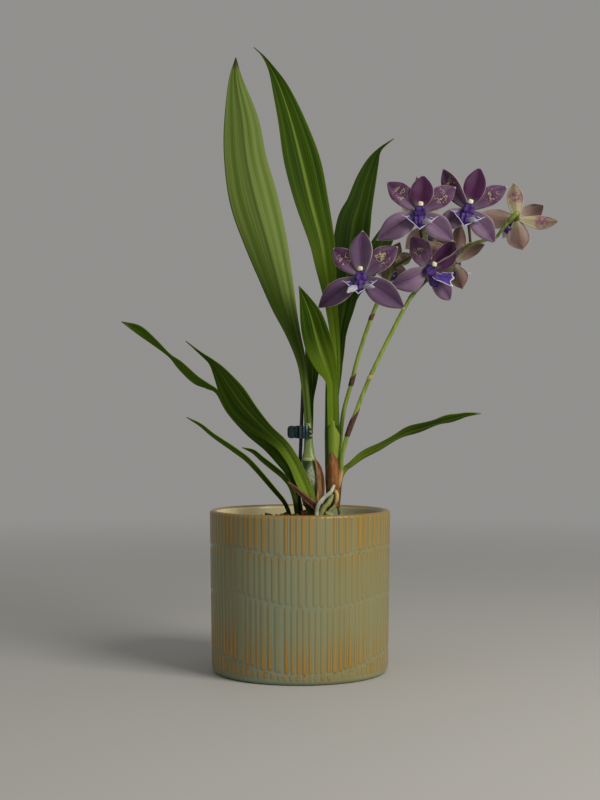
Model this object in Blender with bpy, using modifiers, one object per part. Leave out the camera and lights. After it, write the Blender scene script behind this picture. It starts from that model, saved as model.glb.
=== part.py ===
"""Potted orchid: a zygopetalum hybrid in bark, in a nursery pot inside a glazed stoneware cover pot.

Metres, +Z up, the front is towards -Y. The origin is the centre of the cover pot's flat underside.
Leaves are numbered by letters, from the tall ones at the back to the low ones round the foot.
"""

import math

import bmesh
import bpy
from mathutils import Matrix, Vector

MM = 0.001
FRONT = Vector((0, -1, 0))

# Cover pot, nursery pot and bark
POT_HEIGHT = 119.5 * MM
POT_RIM_RADIUS = 67.2 * MM
POT_FOOT_RADIUS = 65.6 * MM
POT_WALL = 5.2 * MM
POT_FLOOR = 6.5 * MM
POT_EDGE = 2.6 * MM
NURSERY_HEIGHT = 99 * MM
NURSERY_RIM_RADIUS = 58.5 * MM
NURSERY_FOOT_RADIUS = 47 * MM
NURSERY_WALL = 0.9 * MM
BARK_TOP = 113 * MM
BARK_SHOULDER = 105.5 * MM
TURNING_STEPS = 40

# Stake and the clip that holds the first leaf stalk to it
STAKE_FOOT = Vector((-4.9, 1.2, 25)) * MM
STAKE_TOP = Vector((2.9, 5.2, 229)) * MM
STAKE_RADIUS = 1.35 * MM
STAKE_CLEARANCE = 0.35 * MM
CLIP_AXIS = Vector((-2.5, 1.5, 177.3)) * MM
CLIP_HALF_HEIGHT = 5 * MM
CLIP_PLATE = 1.1 * MM
PIN_RADIUS = 0.9 * MM

# Blades and flowers
LEAF_THICKNESS = 0.7 * MM
TEPAL_THICKNESS = 0.8 * MM
HUB_RADIUS = 3.5 * MM

LEAF_GREEN = (0.05, 0.11, 0.015)
DARK_GREEN = (0.025, 0.06, 0.008)
STALK_GREEN = (0.22, 0.33, 0.05)
DRY_BROWN = (0.22, 0.1, 0.05)
PLUM = (0.16, 0.06, 0.16)
VIOLET = (0.06, 0.02, 0.25)
CREAM = (0.75, 0.7, 0.45)

for stale in list(bpy.data.objects):
    bpy.data.objects.remove(stale)


def new_collection(name):
    collection = bpy.data.collections.new(name)
    bpy.context.scene.collection.children.link(collection)
    return collection


ORCHID = new_collection("potted_orchid")
CUTTERS = new_collection("cutters")


def finish(name, data, colour, roughness=0.5, metallic=0.0, collection=ORCHID):
    """Put a mesh or a curve in the scene as one named piece with a material of its own."""
    piece = bpy.data.objects.new(name, data)
    collection.objects.link(piece)
    material = bpy.data.materials.new(name + "_material")
    material.use_nodes = True
    shader = material.node_tree.nodes["Principled BSDF"]
    shader.inputs["Base Color"].default_value = (*colour, 1)
    shader.inputs["Roughness"].default_value = roughness
    shader.inputs["Metallic"].default_value = metallic
    data.materials.append(material)
    return piece


def mesh_from(name, shape, smooth=True):
    mesh = bpy.data.meshes.new(name)
    shape.to_mesh(mesh)
    shape.free()
    if smooth:
        mesh.shade_smooth()
    return mesh


def hide_cutter(cutter):
    cutter.hide_render = True
    cutter.display_type = "WIRE"


def boolean(piece, operation, other):
    cut = piece.modifiers.new(operation.lower(), "BOOLEAN")
    cut.operation = operation
    cut.object = other


# ---------------------------------------------------------------- turned pieces


def turned(name, profile, colour, roughness, steps=TURNING_STEPS):
    """Spin a profile of (radius, height) points, which runs down its outer side, about Z."""
    shape = bmesh.new()
    points = [shape.verts.new((radius, 0, height)) for radius, height in profile]
    for first, second in zip(points, points[1:]):
        shape.edges.new((first, second))
    piece = finish(name, mesh_from(name, shape, smooth=False), colour, roughness)
    spin = piece.modifiers.new("turn", "SCREW")
    spin.steps = spin.render_steps = steps
    spin.use_merge_vertices = True
    spin.merge_threshold = 0.0001
    spin.use_smooth_shade = True
    return piece


def make_cover_pot():
    inner_rim = POT_RIM_RADIUS - POT_WALL
    inner_foot = POT_FOOT_RADIUS - POT_WALL
    profile = [
        (0, POT_FLOOR),
        (inner_foot - 3 * MM, POT_FLOOR),
        (inner_foot, POT_FLOOR + 3 * MM),
        (inner_rim, POT_HEIGHT - 4 * MM),
        (inner_rim + 0.9 * MM, POT_HEIGHT - 0.9 * MM),
        (inner_rim + POT_WALL / 2, POT_HEIGHT),
        (POT_RIM_RADIUS - 0.9 * MM, POT_HEIGHT - 1.2 * MM),
        (POT_RIM_RADIUS, POT_HEIGHT - 5 * MM),
        (POT_FOOT_RADIUS + 1 * MM, POT_HEIGHT / 2),
        (POT_FOOT_RADIUS, POT_EDGE * 3),
        (POT_FOOT_RADIUS - 0.8 * MM, POT_EDGE),
        (POT_FOOT_RADIUS - POT_EDGE, 0),
        (0, 0),
    ]
    turned("cachepot", profile, (0.25, 0.3, 0.2), 0.25, steps=56)


def make_nursery_pot():
    bottom = POT_FLOOR + 0.4 * MM
    top = bottom + NURSERY_HEIGHT
    wall = NURSERY_WALL
    profile = [
        (0, bottom + wall),
        (NURSERY_FOOT_RADIUS - wall, bottom + wall),
        (NURSERY_RIM_RADIUS - 2.4 * MM, top),
        (NURSERY_RIM_RADIUS, top),
        (NURSERY_RIM_RADIUS, top - 6 * MM),
        (NURSERY_RIM_RADIUS - 1.5 * MM, top - 6 * MM),
        (NURSERY_FOOT_RADIUS, bottom),
        (0, bottom),
    ]
    turned("nursery_pot", profile, (0.03, 0.03, 0.03), 0.45)


def make_bark():
    """The bark fills the nursery pot and is bored where the stake goes in."""
    clear = 0.6 * MM
    bottom = POT_FLOOR + 0.4 * MM + NURSERY_WALL + clear
    side = NURSERY_RIM_RADIUS - 2.4 * MM - clear
    profile = [
        (0, BARK_TOP),
        (14 * MM, BARK_TOP - 0.6 * MM),
        (32 * MM, BARK_TOP - 3.4 * MM),
        (46 * MM, BARK_SHOULDER + 0.6 * MM),
        (side - 3.4 * MM, BARK_SHOULDER - 2 * MM),
        (side - 1.2 * MM, BARK_SHOULDER - 7 * MM),
        (NURSERY_FOOT_RADIUS - NURSERY_WALL - clear, bottom),
        (0, bottom),
    ]
    bark = turned("bark_medium", profile, (0.06, 0.035, 0.02), 0.9, steps=28)
    bore = cylinder("stake_bore", STAKE_FOOT - (STAKE_TOP - STAKE_FOOT) * 0.01, STAKE_TOP,
                    STAKE_RADIUS + STAKE_CLEARANCE, CUTTERS, 12)
    hide_cutter(bore)
    boolean(bark, "DIFFERENCE", bore)


def cylinder(name, start, end, radius, collection=ORCHID, sides=16, colour=(0.01, 0.01, 0.012)):
    """A round bar from one point to another."""
    shape = bmesh.new()
    bmesh.ops.create_cone(shape, cap_ends=True, segments=sides, radius1=radius, radius2=radius,
                          depth=(end - start).length)
    bar = finish(name, mesh_from(name, shape), colour, 0.35, collection=collection)
    bar.data.set_sharp_from_angle(angle=math.radians(50))
    bar.location = (start + end) / 2
    bar.rotation_mode = "QUATERNION"
    bar.rotation_quaternion = (end - start).to_track_quat("Z", "Y")
    return bar


# ---------------------------------------------------------------- stalks, roots and tubes


def smooth_route(points, count):
    """Points on a Catmull-Rom curve through the given ones, end to end."""
    corners = [Vector(point) for point in points]
    corners = [2 * corners[0] - corners[1], *corners, 2 * corners[-1] - corners[-2]]
    spans = len(points) - 1
    route = []
    for step in range(count):
        place = step * spans / (count - 1)
        index = min(int(place), spans - 1)
        t = place - index
        a, b, c, d = corners[index:index + 4]
        route.append(0.5 * (2 * b + (c - a) * t + (2 * a - 5 * b + 4 * c - d) * t * t
                            + (3 * b - a - 3 * c + d) * t ** 3))
    return route


def tube(name, points, radii, colour, count=14, roughness=0.45):
    """A round stalk through points in millimetres, with its radius going evenly along radii."""
    curve = bpy.data.curves.new(name, "CURVE")
    curve.dimensions = "3D"
    curve.bevel_depth = MM
    curve.bevel_resolution = 2
    curve.use_fill_caps = True
    spline = curve.splines.new("POLY")
    spline.points.add(count - 1)
    for index, place in enumerate(smooth_route(points, count)):
        along = index * (len(radii) - 1) / (count - 1)
        low = min(int(along), len(radii) - 2)
        spline.points[index].co = (*(place * MM), 1)
        spline.points[index].radius = radii[low] + (radii[low + 1] - radii[low]) * (along - low)
    return finish(name, curve, colour, roughness)


# ---------------------------------------------------------------- blades


def blade(name, stations, colour, channel=0.2, thickness=LEAF_THICKNESS, columns=4, roughness=0.45):
    """A leaf or bract: a strip laid along stations of (x, y, z, width, roll), in mm and degrees.

    Roll turns the strip about its length, and at 0 its face is to the front. A positive channel
    lifts both edges to the front, and a negative one to the back.
    """
    rows = len(stations) - 1
    shape = bmesh.new()
    bmesh.ops.create_grid(shape, x_segments=columns, y_segments=rows, size=1)
    for vert in shape.verts:
        row = round((vert.co.y + 1) / 2 * rows)
        vert.co = blade_point(stations, row, vert.co.x, channel)
    leaf = finish(name, mesh_from(name, shape), colour, roughness)
    wall = leaf.modifiers.new("thickness", "SOLIDIFY")
    wall.thickness = thickness
    wall.offset = 0
    return leaf


def blade_point(stations, row, side, channel):
    x, y, z, width, roll = stations[row]
    before = Vector(stations[max(row - 1, 0)][:3])
    after = Vector(stations[min(row + 1, len(stations) - 1)][:3])
    along = (after - before).normalized()
    across = along.cross(FRONT).normalized()
    face = across.cross(along)
    turn = Matrix.Rotation(math.radians(roll), 3, along)
    across, face = turn @ across, turn @ face
    reach = side * width / 2
    return (Vector((x, y, z)) + across * reach + face * abs(reach) * channel) * MM


def make_leaves():
    blade("leaf_a", [
        (7, 0, 157.5, 8.4, 0), (6.4, 0, 168, 6.6, 0), (6, 0, 184, 5.6, 0), (5, -1, 198, 5, 0),
        (3.5, -3, 213, 5.4, 0), (1, -6, 230, 7, 0), (-5, -10, 250, 11, 0), (-12, -14, 271, 18.5, 0),
        (-17, -18, 289, 24, 4), (-25, -24, 318, 32, 8), (-33, -30, 346, 35.5, 8),
        (-39, -35, 374, 31, 8), (-42, -38, 402, 25, 6), (-46, -40, 430, 10.5, 4),
        (-46, -41, 446, 0.6, 0),
    ], LEAF_GREEN, channel=-0.2)
    blade("leaf_b", [
        (27, 3, 217, 3.4, 0), (27.2, 5, 239, 6, 0), (24, 9, 269, 9, 0), (22, 12, 284, 11.5, 5),
        (19, 16, 304, 16.5, 10), (16, 20, 323, 20.5, 14), (8, 27, 355, 26.5, 14),
        (1, 33, 386, 28.5, 12), (-7, 38, 418, 21, 10), (-15, 42, 443, 13, 5),
        (-22, 44, 459, 5.5, 0), (-29, 45, 470, 1.6, 0), (-36, 46, 477, 0.6, 0),
    ], DARK_GREEN)
    blade("leaf_c", [
        (23.4, -6.6, 216, 6, 0), (19, -10, 227, 16.5, 0), (15, -12, 238, 20.5, 0),
        (11, -15, 249, 19.5, 0), (8, -18, 260, 16, 0), (4, -21, 267, 8, 0),
        (1, -23, 275, 3, 0), (-1, -24, 282, 0.6, 0),
    ], DARK_GREEN)
    blade("leaf_d", [
        (29, 7.5, 222, 4, 0), (30, 9, 243, 7, 0), (31, 11, 258, 11.5, 0), (34, 14, 274, 16, 0),
        (37, 20, 304, 26.5, 0), (41, 27, 336, 26, 0), (46, 31, 353, 20, 0),
        (51, 35, 371, 15.5, 0), (56, 38, 385, 10, 0), (62, 40, 396, 3, 0), (73, 42, 405, 0.6, 0),
    ], DARK_GREEN)
    blade("leaf_e", [
        (9, -10.5, 125, 6, 0), (7, -11, 132, 8, 0), (3, -11.5, 141, 11, -5),
        (-2.5, -11.5, 153, 11, -8), (-8, -10.5, 162, 10.5, -15), (-14, -8.5, 169, 10.5, -25),
        (-23, -5, 177, 14, -35), (-32, -1, 186, 23, -42), (-45, 4, 199, 30, -45),
        (-55, 8, 211, 21, -45), (-64, 12, 226, 10, -45), (-74, 15, 236, 3, -40),
        (-87, 18, 246, 0.6, -40),
    ], DARK_GREEN)
    blade("leaf_f", [
        (-1, 8, 124, 4, 0), (-3.5, 9, 135, 4.5, -10), (-8, 11, 147, 7, -20), (-15, 13, 157, 9, -25),
        (-24, 15, 167, 9.5, -30), (-38, 18, 179, 10, -35), (-53, 22, 194, 8, -40),
        (-63, 24, 208, 5, -50), (-71, 25, 213, 7, -50), (-80, 26, 218, 9, -45),
        (-92, 28, 229, 8, -45), (-100, 30, 236, 4, -50), (-111, 32, 246, 7, -45),
        (-124, 34, 256, 8, -35), (-138, 36, 262, 0.6, -30),
    ], DARK_GREEN)
    blade("leaf_g", [
        (-7, -9, 115, 3, -40), (-11, -10, 125, 4, -40), (-18, -12, 134, 4.5, -40),
        (-36, -16, 155, 5, -40), (-47, -18, 164, 5, -40), (-63, -20, 175, 4, -40),
        (-73, -21, 183, 3, -40), (-83, -22, 188, 0.6, -40),
    ], DARK_GREEN)
    blade("leaf_h", [
        (-5.5, -4, 117, 3, -20), (-7, -4, 130, 4, -30), (-12, -4, 142, 4.5, -30),
        (-20, -5, 151, 5, -30), (-28, -7, 157, 4.5, -30), (-35, -8, 164, 3.5, -30),
        (-43, -9, 166, 0.6, -30),
    ], DARK_GREEN)
    blade("leaf_j", [
        (33.6, 0, 149, 4, 60), (39, -1, 153, 8, 62), (48, -3, 160, 12, 64), (60, -6, 166, 15, 64),
        (71, -9, 173, 16, 64), (80, -11, 176, 17, 64), (90, -13, 180, 16, 64),
        (99, -15, 184, 15, 64), (107, -17, 187, 11, 62), (115, -18, 188, 7, 60),
        (122, -19, 190, 4, 50), (134, -20, 192, 0.6, 40),
    ], LEAF_GREEN, channel=-0.15)
    blade("leaf_k", [
        (8, 3.4, 189, 3.5, 0), (8.4, 4, 202, 3.5, 0), (9.6, 5, 216, 6, 0), (10.6, 6, 231, 10, 0),
        (13, 8, 250, 10, 0), (16, 10, 268, 0.8, 0),
    ], DARK_GREEN)
    blade("leaf_l", [
        (32.5, 13, 232, 4, 0), (37, 17, 262, 9, 0), (44.5, 28, 286, 15, 0), (56, 42, 309, 17, 0),
        (66.5, 52, 329, 14, 0), (75, 57, 342, 8.5, 0), (81, 60, 350, 0.6, 0),
    ], DARK_GREEN)


def make_dry_bracts():
    blade("dry_sheath_mature", [
        (14.4, -7, 124, 4, -50), (17.2, -5.8, 132, 7, -58), (17.2, -5.4, 141, 7.4, -60),
        (15.8, -4.6, 150, 5, -60), (13.6, -3.4, 158.5, 1, -60),
    ], DRY_BROWN, channel=-0.35)
    blade("dry_bract_left", [
        (12, -16.6, 123, 3, 0), (7, -17, 126.6, 4.4, 0), (1, -17, 132, 3.4, 0),
        (-4.5, -16.5, 137, 2, 0), (-9.5, -16, 141.5, 0.6, 0),
    ], DRY_BROWN, channel=-0.2)
    blade("dry_bract_new", [
        (25, -7, 134, 7.4, 0), (24.6, -7.6, 142, 9.6, 0), (24.4, -7.4, 149, 9, 0),
        (24, -7, 156, 6, 0), (23.4, -6.6, 162, 0.8, 0),
    ], DRY_BROWN, channel=-0.35)


# ---------------------------------------------------------------- bulb, foot, roots and spikes


def make_growths():
    bulb = turned("pseudobulb_mature", [
        (0, 35), (4.4, 34.6), (5.2, 31), (6.8, 25), (7.6, 16), (7.2, 7), (4.4, 0.8), (0, 0),
    ], (0.05, 0.12, 0.03), 0.4, steps=20)
    bulb.data.transform(Matrix.Scale(MM, 4))
    bulb.location = Vector((8.6, 0, 121.6)) * MM
    bulb.rotation_euler = (0, math.radians(-2.6), 0)
    tube("rhizome", [(1, 1, 117.4), (9, 0.5, 117.6), (17, 0, 120), (23.5, 0, 127.5)],
         [3.2, 3.6, 3.6, 3.2], (0.1, 0.12, 0.04), 10)
    tube("new_growth_sheath", [(24.6, 0, 132.4), (24, 0, 154), (24, 0, 182), (23.6, 0, 214.5)],
         [4, 5, 4.7, 4], STALK_GREEN, 10)


def make_roots():
    tube("root_white", [(25.6, -9.6, 137), (22.6, -11, 132.6), (18.6, -12, 130), (15.6, -13, 127),
                        (12.8, -14, 123), (12.2, -14, 114.8)],
         [1.1, 1.2, 1.2, 1.1], (0.5, 0.52, 0.4), 12)
    tube("root_green", [(23.6, -6.4, 129.4), (20, -9, 123), (15.6, -10, 119), (9.5, -10.6, 115.4)],
         [1.2, 1.4, 1.3], (0.25, 0.27, 0.08), 10)


LOW_ROUTE = [
    (30.3, 4.6, 148), (30.4, 4.6, 164), (30.9, 4.4, 179), (32.6, 4, 192), (34.8, 4, 201),
    (38.6, 4, 214), (42.3, 4, 229), (47.5, 4, 246), (52.7, 4, 261), (58, 4, 274),
    (64.6, 4, 288), (70, 4, 300), (80.4, 5, 307), (88, 6, 312), (94, 7, 319),
]
HIGH_ROUTE = [
    (30.4, -4.6, 147), (31, -4.6, 158), (33.8, -4.6, 170), (37, -4.4, 180), (42, -4, 193),
    (45.7, -4, 203), (52.4, -4, 219), (59.8, -4, 234.5), (68.8, -3, 252.4), (77.8, -2, 269.6),
    (84, 0.5, 279.5), (93, 6, 289.5), (101, 9.5, 297), (110.4, 10, 304.5), (119.5, 8, 312),
    (128.5, 6, 318), (138, 5, 321), (145.5, 5, 322.6),
]


def make_spikes():
    tube("spike_low", LOW_ROUTE, [1.5, 1.4, 1.3, 1.1], (0.25, 0.3, 0.06), 26)
    tube("spike_high", HIGH_ROUTE, [1.6, 1.5, 1.4, 1.1], (0.25, 0.3, 0.06), 30)


# ---------------------------------------------------------------- flowers

# Each tepal: its angle from the flower's top in degrees, then length, width and lift in mm.
TEPALS = [
    (0, 33, 13.5, -1),
    (46, 33, 13.5, 1.6),
    (124, 36, 16, -1),
    (-124, 36, 16, -1),
    (-46, 33, 13.5, 1.6),
]
TEPAL_PROFILE = [(0.2, 0.5), (0.45, 0.93), (0.7, 0.95), (0.9, 0.55), (1, 0.05)]

# Each flower: its middle and the way it faces, its top's direction, and where its stalk starts.
FLOWERS = {
    1: ((45.5, -18, 291), (-0.2, -0.95, 0.1), (0.02, 0, 1), (62.6, 2.5, 285)),
    2: ((87.2, -21, 338), (0, -1, 0.05), (0.06, 0, 1), (91.5, 3.5, 318.4)),
    3: ((124, -13, 341), (-0.05, -1, 0.05), (0.27, 0, 1), (127.5, 3.2, 319.4)),
    4: ((163, 9, 338.5), (0.15, 0.95, -0.2), (0.7, 0, 0.7), (148, 5.5, 324)),
    5: ((94.5, -1, 299), (0.4, -0.88, -0.2), (0.25, -0.05, 0.97), (90, 4.6, 289.4)),
    6: ((117, 22, 306), (0.35, 0.93, 0.05), (0.26, 0, 0.95), (112.4, 12.9, 304.6)),
    7: ((72, 16, 304), (-0.3, 0.93, 0.1), (-0.1, 0, 1), (75, 7.4, 306.5)),
    8: ((99, 38, 337), (0.1, 0.98, 0.1), (-0.3, 0, 1), (95.4, 9.4, 321)),
}


def tepal_rows(angle, length, width, lift):
    """Rows of three points, left edge, middle and right edge, in the flower's own frame."""
    out = Vector((math.sin(math.radians(angle)), math.cos(math.radians(angle)), 0))
    side = Vector((-out.y, out.x, 0))
    for reach, share in TEPAL_PROFILE:
        rise = lift * math.sin(math.pi * min(reach * 1.4, 1)) + 3.5 * reach ** 2
        middle = out * (HUB_RADIUS / MM + (length - HUB_RADIUS / MM) * reach)
        edge = side * width / 2 * share
        cup = Vector((0, 0, rise + 0.8 * share))
        yield [(middle + edge + cup) * MM, (middle + Vector((0, 0, rise))) * MM,
               (middle - edge + cup) * MM]


def ring_point(angle):
    return Vector((math.sin(math.radians(angle)), math.cos(math.radians(angle)), 0)) * HUB_RADIUS


def perianth_mesh():
    """Three sepals and two petals extruded outwards from a small round middle."""
    shape = bmesh.new()
    bmesh.ops.create_circle(shape, cap_ends=True, cap_tris=True, segments=10, radius=HUB_RADIUS)
    rim = sorted((vert for vert in shape.verts if vert.co.length > HUB_RADIUS / 2),
                 key=lambda vert: math.atan2(vert.co.x, vert.co.y) % math.tau)
    order = sorted(TEPALS, key=lambda tepal: tepal[0] % 360)
    angles = [tepal[0] % 360 for tepal in order]
    seams = [(angles[i] + (angles[(i + 1) % 5] - angles[i]) % 360 / 2) % 360 for i in range(5)]
    for index in range(5):
        rim[2 * index].co = ring_point(angles[index])
        rim[2 * index + 1].co = ring_point(seams[index])
    for index, tepal in enumerate(order):
        last = [rim[2 * index - 1], rim[2 * index], rim[2 * index + 1]]
        for row in tepal_rows(*tepal):
            last = extrude_row(shape, last, row)
    bmesh.ops.recalc_face_normals(shape, faces=shape.faces)
    return mesh_from("perianth", shape)


def extrude_row(shape, last, row):
    edges = [shape.edges.get((last[0], last[1])), shape.edges.get((last[1], last[2]))]
    grown = bmesh.ops.extrude_edge_only(shape, edges=edges)["geom"]
    fresh = [item for item in grown if isinstance(item, bmesh.types.BMVert)]
    new = [min(fresh, key=lambda vert: (vert.co - old.co).length) for old in last]
    for vert, place in zip(new, row):
        vert.co = place
    return new


def lip_mesh():
    """The lip hangs forward under the column and spreads towards its tip."""
    shape = bmesh.new()
    bmesh.ops.create_grid(shape, x_segments=4, y_segments=4, size=1)
    stations = [(-1.6, 5.6, 7), (-6, 8.4, 11), (-10, 10.6, 19), (-15, 12.4, 20), (-20, 12, 9)]
    for vert in shape.verts:
        height, out, width = stations[round((vert.co.y + 1) * 2)]
        side = vert.co.x
        vert.co = Vector((side * width / 2, height, out + 2.4 * side * side)) * MM
    return mesh_from("lip", shape)


def column_mesh():
    """The column is a short club that leans forward over the lip and ends in its anther cap."""
    shape = bmesh.new()
    bmesh.ops.create_uvsphere(shape, u_segments=10, v_segments=7, radius=MM)
    bmesh.ops.scale(shape, vec=(3, 2.6, 5.4), verts=shape.verts)
    bmesh.ops.rotate(shape, cent=(0, 0, 0), verts=shape.verts,
                     matrix=Matrix.Rotation(math.radians(-16), 3, "X"))
    bmesh.ops.translate(shape, verts=shape.verts, vec=(0, 2.6 * MM, 7.6 * MM))
    return mesh_from("column", shape)


def flower_frame(centre, facing, top):
    front = Vector(facing).normalized()
    right = Vector(top).cross(front).normalized()
    up = front.cross(right)
    frame = Matrix((right, up, front)).transposed().to_4x4()
    frame.translation = Vector(centre) * MM
    return frame


def make_flowers():
    shapes = {"perianth": perianth_mesh(), "lip": lip_mesh(), "column": column_mesh()}
    colours = {"perianth": PLUM, "lip": VIOLET, "column": CREAM}
    for number, (centre, facing, top, start) in FLOWERS.items():
        frame = flower_frame(centre, facing, top)
        for kind, mesh in shapes.items():
            piece = finish(f"flower_{number}_{kind}", mesh.copy(), colours[kind], 0.55)
            piece.matrix_world = frame
            if kind != "column":
                wall = piece.modifiers.new("thickness", "SOLIDIFY")
                wall.thickness = TEPAL_THICKNESS
                wall.offset = 0
        back = Vector(centre) - Vector(facing).normalized() * 1.4
        ovary = Vector(centre) - Vector(facing).normalized() * 9
        tube(f"flower_{number}_pedicel", [start, (Vector(start) + ovary) / 2, ovary, back],
             [0.9, 1.1, 1.4, 1.5], STALK_GREEN, 8)


# ---------------------------------------------------------------- stake and clip


def make_stake():
    cylinder("stake", STAKE_FOOT, STAKE_TOP, STAKE_RADIUS)


def clip_plate(name, outline, side):
    """One jaw: a bent plate that runs from its finger tab past the hinge to its claws."""
    shape = bmesh.new()
    low = [shape.verts.new((x * MM, CLIP_AXIS.y + side * y * MM, CLIP_AXIS.z - CLIP_HALF_HEIGHT))
           for x, y in outline]
    edges = [shape.edges.new(pair) for pair in zip(low, low[1:])]
    grown = bmesh.ops.extrude_edge_only(shape, edges=edges)["geom"]
    top = [item for item in grown if isinstance(item, bmesh.types.BMVert)]
    bmesh.ops.translate(shape, verts=top, vec=(0, 0, 2 * CLIP_HALF_HEIGHT))
    plate = finish(name, mesh_from(name, shape, smooth=False), (0.02, 0.05, 0.07), 0.2)
    wall = plate.modifiers.new("thickness", "SOLIDIFY")
    wall.thickness = CLIP_PLATE
    wall.offset = 0
    return plate


def block(name, low, high):
    shape = bmesh.new()
    bmesh.ops.create_cube(shape, size=1)
    size = Vector(high) - Vector(low)
    bmesh.ops.scale(shape, vec=size, verts=shape.verts)
    bmesh.ops.translate(shape, verts=shape.verts, vec=(Vector(high) + Vector(low)) / 2)
    box = finish(name, mesh_from(name, shape, smooth=False), (0.5, 0.5, 0.5), collection=CUTTERS)
    hide_cutter(box)
    return box


def knuckle(name, low, high, radius, sides=16):
    rod = cylinder(name, CLIP_AXIS + Vector((0, 0, low * MM)), CLIP_AXIS + Vector((0, 0, high * MM)),
                   radius * MM, CUTTERS, sides)
    hide_cutter(rod)
    return rod


def notch_claws(jaw, name):
    """Two notches leave three claws at the jaw's end."""
    for index, middle in enumerate((-1.7, 1.7)):
        height = CLIP_AXIS.z + middle * MM
        gap = block(f"{name}_notch_{index}", (7.2 * MM, -12 * MM, height - 1 * MM),
                    (14 * MM, 16 * MM, height + 1 * MM))
        boolean(jaw, "DIFFERENCE", gap)


def make_clip():
    outline = [(-9.3, 5.4), (-8, 6), (-5.6, 5.4), (-3.8, 3.4), (-2.4, 2.4), (-1, 3.4),
               (0.6, 5.5), (3.4, 6.3), (6, 5.9), (8.2, 4.6), (9.3, 2.8)]
    axis = CLIP_AXIS
    fixed = clip_plate("clip_fixed_jaw", outline, 1)
    boolean(fixed, "UNION", knuckle("pin", -4.7, 4.7, PIN_RADIUS / MM, 12))
    for index, low in enumerate((-2.7, 1.6)):
        lug = block(f"fixed_lug_{index}", axis + Vector((-1.2, 0, low)) * MM,
                    axis + Vector((1.2, 2.5, low + 1.1)) * MM)
        boolean(fixed, "UNION", lug)
    notch_claws(fixed, "fixed")
    moving = clip_plate("clip_moving_jaw", outline, -1)
    moving.data.transform(Matrix.Translation(-axis))
    moving.location = axis
    for index, low in enumerate((-4.4, 3.1)):
        boolean(moving, "UNION", knuckle(f"moving_knuckle_{index}", low, low + 1.3, 1.8))
        lug = block(f"moving_lug_{index}", axis + Vector((-1.2, -2.5, low)) * MM,
                    axis + Vector((1.2, -0.4, low + 1.3)) * MM)
        boolean(moving, "UNION", lug)
    boolean(moving, "DIFFERENCE", knuckle("pin_hole", -6, 6, PIN_RADIUS / MM + 0.3, 12))
    notch_claws(moving, "moving")
    make_clip_spring()


def make_clip_spring():
    """The coil of the torsion spring round the pin, as one ring."""
    inner, outer, half = 1.2, 1.75, 1.2
    ring = turned("clip_spring", [(inner, half), (outer, half), (outer, -half), (inner, -half),
                                  (inner, half)], (0.4, 0.4, 0.42), 0.3, steps=16)
    ring.data.transform(Matrix.Scale(MM, 4))
    ring.location = CLIP_AXIS


make_cover_pot()
make_nursery_pot()
make_bark()
make_growths()
make_leaves()
make_dry_bracts()
make_roots()
make_spikes()
make_flowers()
make_stake()
make_clip()
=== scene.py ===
"""Potted orchid: the looks of the plant, its clip and stake, and its glazed cover pot, in metres."""

import math
import random

import bmesh
import bpy
import numpy as np
from mathutils import Euler, Matrix, Vector, noise


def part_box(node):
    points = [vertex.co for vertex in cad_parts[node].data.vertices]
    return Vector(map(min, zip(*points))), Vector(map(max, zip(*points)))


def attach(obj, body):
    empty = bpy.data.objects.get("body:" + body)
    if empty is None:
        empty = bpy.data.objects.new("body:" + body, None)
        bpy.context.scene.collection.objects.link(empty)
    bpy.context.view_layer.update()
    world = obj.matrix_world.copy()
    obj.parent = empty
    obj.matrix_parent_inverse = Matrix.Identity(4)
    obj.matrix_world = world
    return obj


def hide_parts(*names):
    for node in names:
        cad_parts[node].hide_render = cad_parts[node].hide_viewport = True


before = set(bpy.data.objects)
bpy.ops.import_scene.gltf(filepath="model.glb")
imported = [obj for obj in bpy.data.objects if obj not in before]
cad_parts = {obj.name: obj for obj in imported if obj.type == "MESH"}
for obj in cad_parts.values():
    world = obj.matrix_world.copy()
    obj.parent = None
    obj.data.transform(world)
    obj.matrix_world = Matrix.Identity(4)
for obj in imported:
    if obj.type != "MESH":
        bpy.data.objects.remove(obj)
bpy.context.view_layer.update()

MM = 0.001

# ---------------------------------------------------------------- the studio
# A plain pale floor, a large soft light to the front and right, a weak one to the left, and an even
# grey room. The camera stands level with the top of the cover pot and a little over a metre away.

EYE_HEIGHT = 0.187
EYE_DISTANCE = 1.03
LENS = 62.1
VIEW_RISE = 19 / 800


def add_camera():
    bpy.ops.object.camera_add(location=(0, -EYE_DISTANCE, EYE_HEIGHT), rotation=(math.pi / 2, 0, 0))
    camera = bpy.context.object
    camera.name = "studio_camera"
    camera.data.lens = LENS
    camera.data.shift_y = VIEW_RISE
    camera.data.clip_start = 0.01
    bpy.context.scene.camera = camera


def add_softbox(name, place, size, power, colour):
    """An area light that looks at the middle of the plant."""
    bpy.ops.object.light_add(type="AREA", location=place)
    lamp = bpy.context.object
    lamp.name = name
    lamp.rotation_euler = (Vector((0, 0, 0.2)) - Vector(place)).to_track_quat("-Z", "Y").to_euler()
    lamp.data.size = size
    lamp.data.energy = power
    lamp.data.color = colour


def add_room():
    world = bpy.data.worlds.new("grey_room")
    world.use_nodes = True
    world.node_tree.nodes["Background"].inputs["Color"].default_value = (0.285, 0.281, 0.272, 1)
    bpy.context.scene.world = world
    bpy.context.scene.view_settings.view_transform = "Standard"


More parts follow.
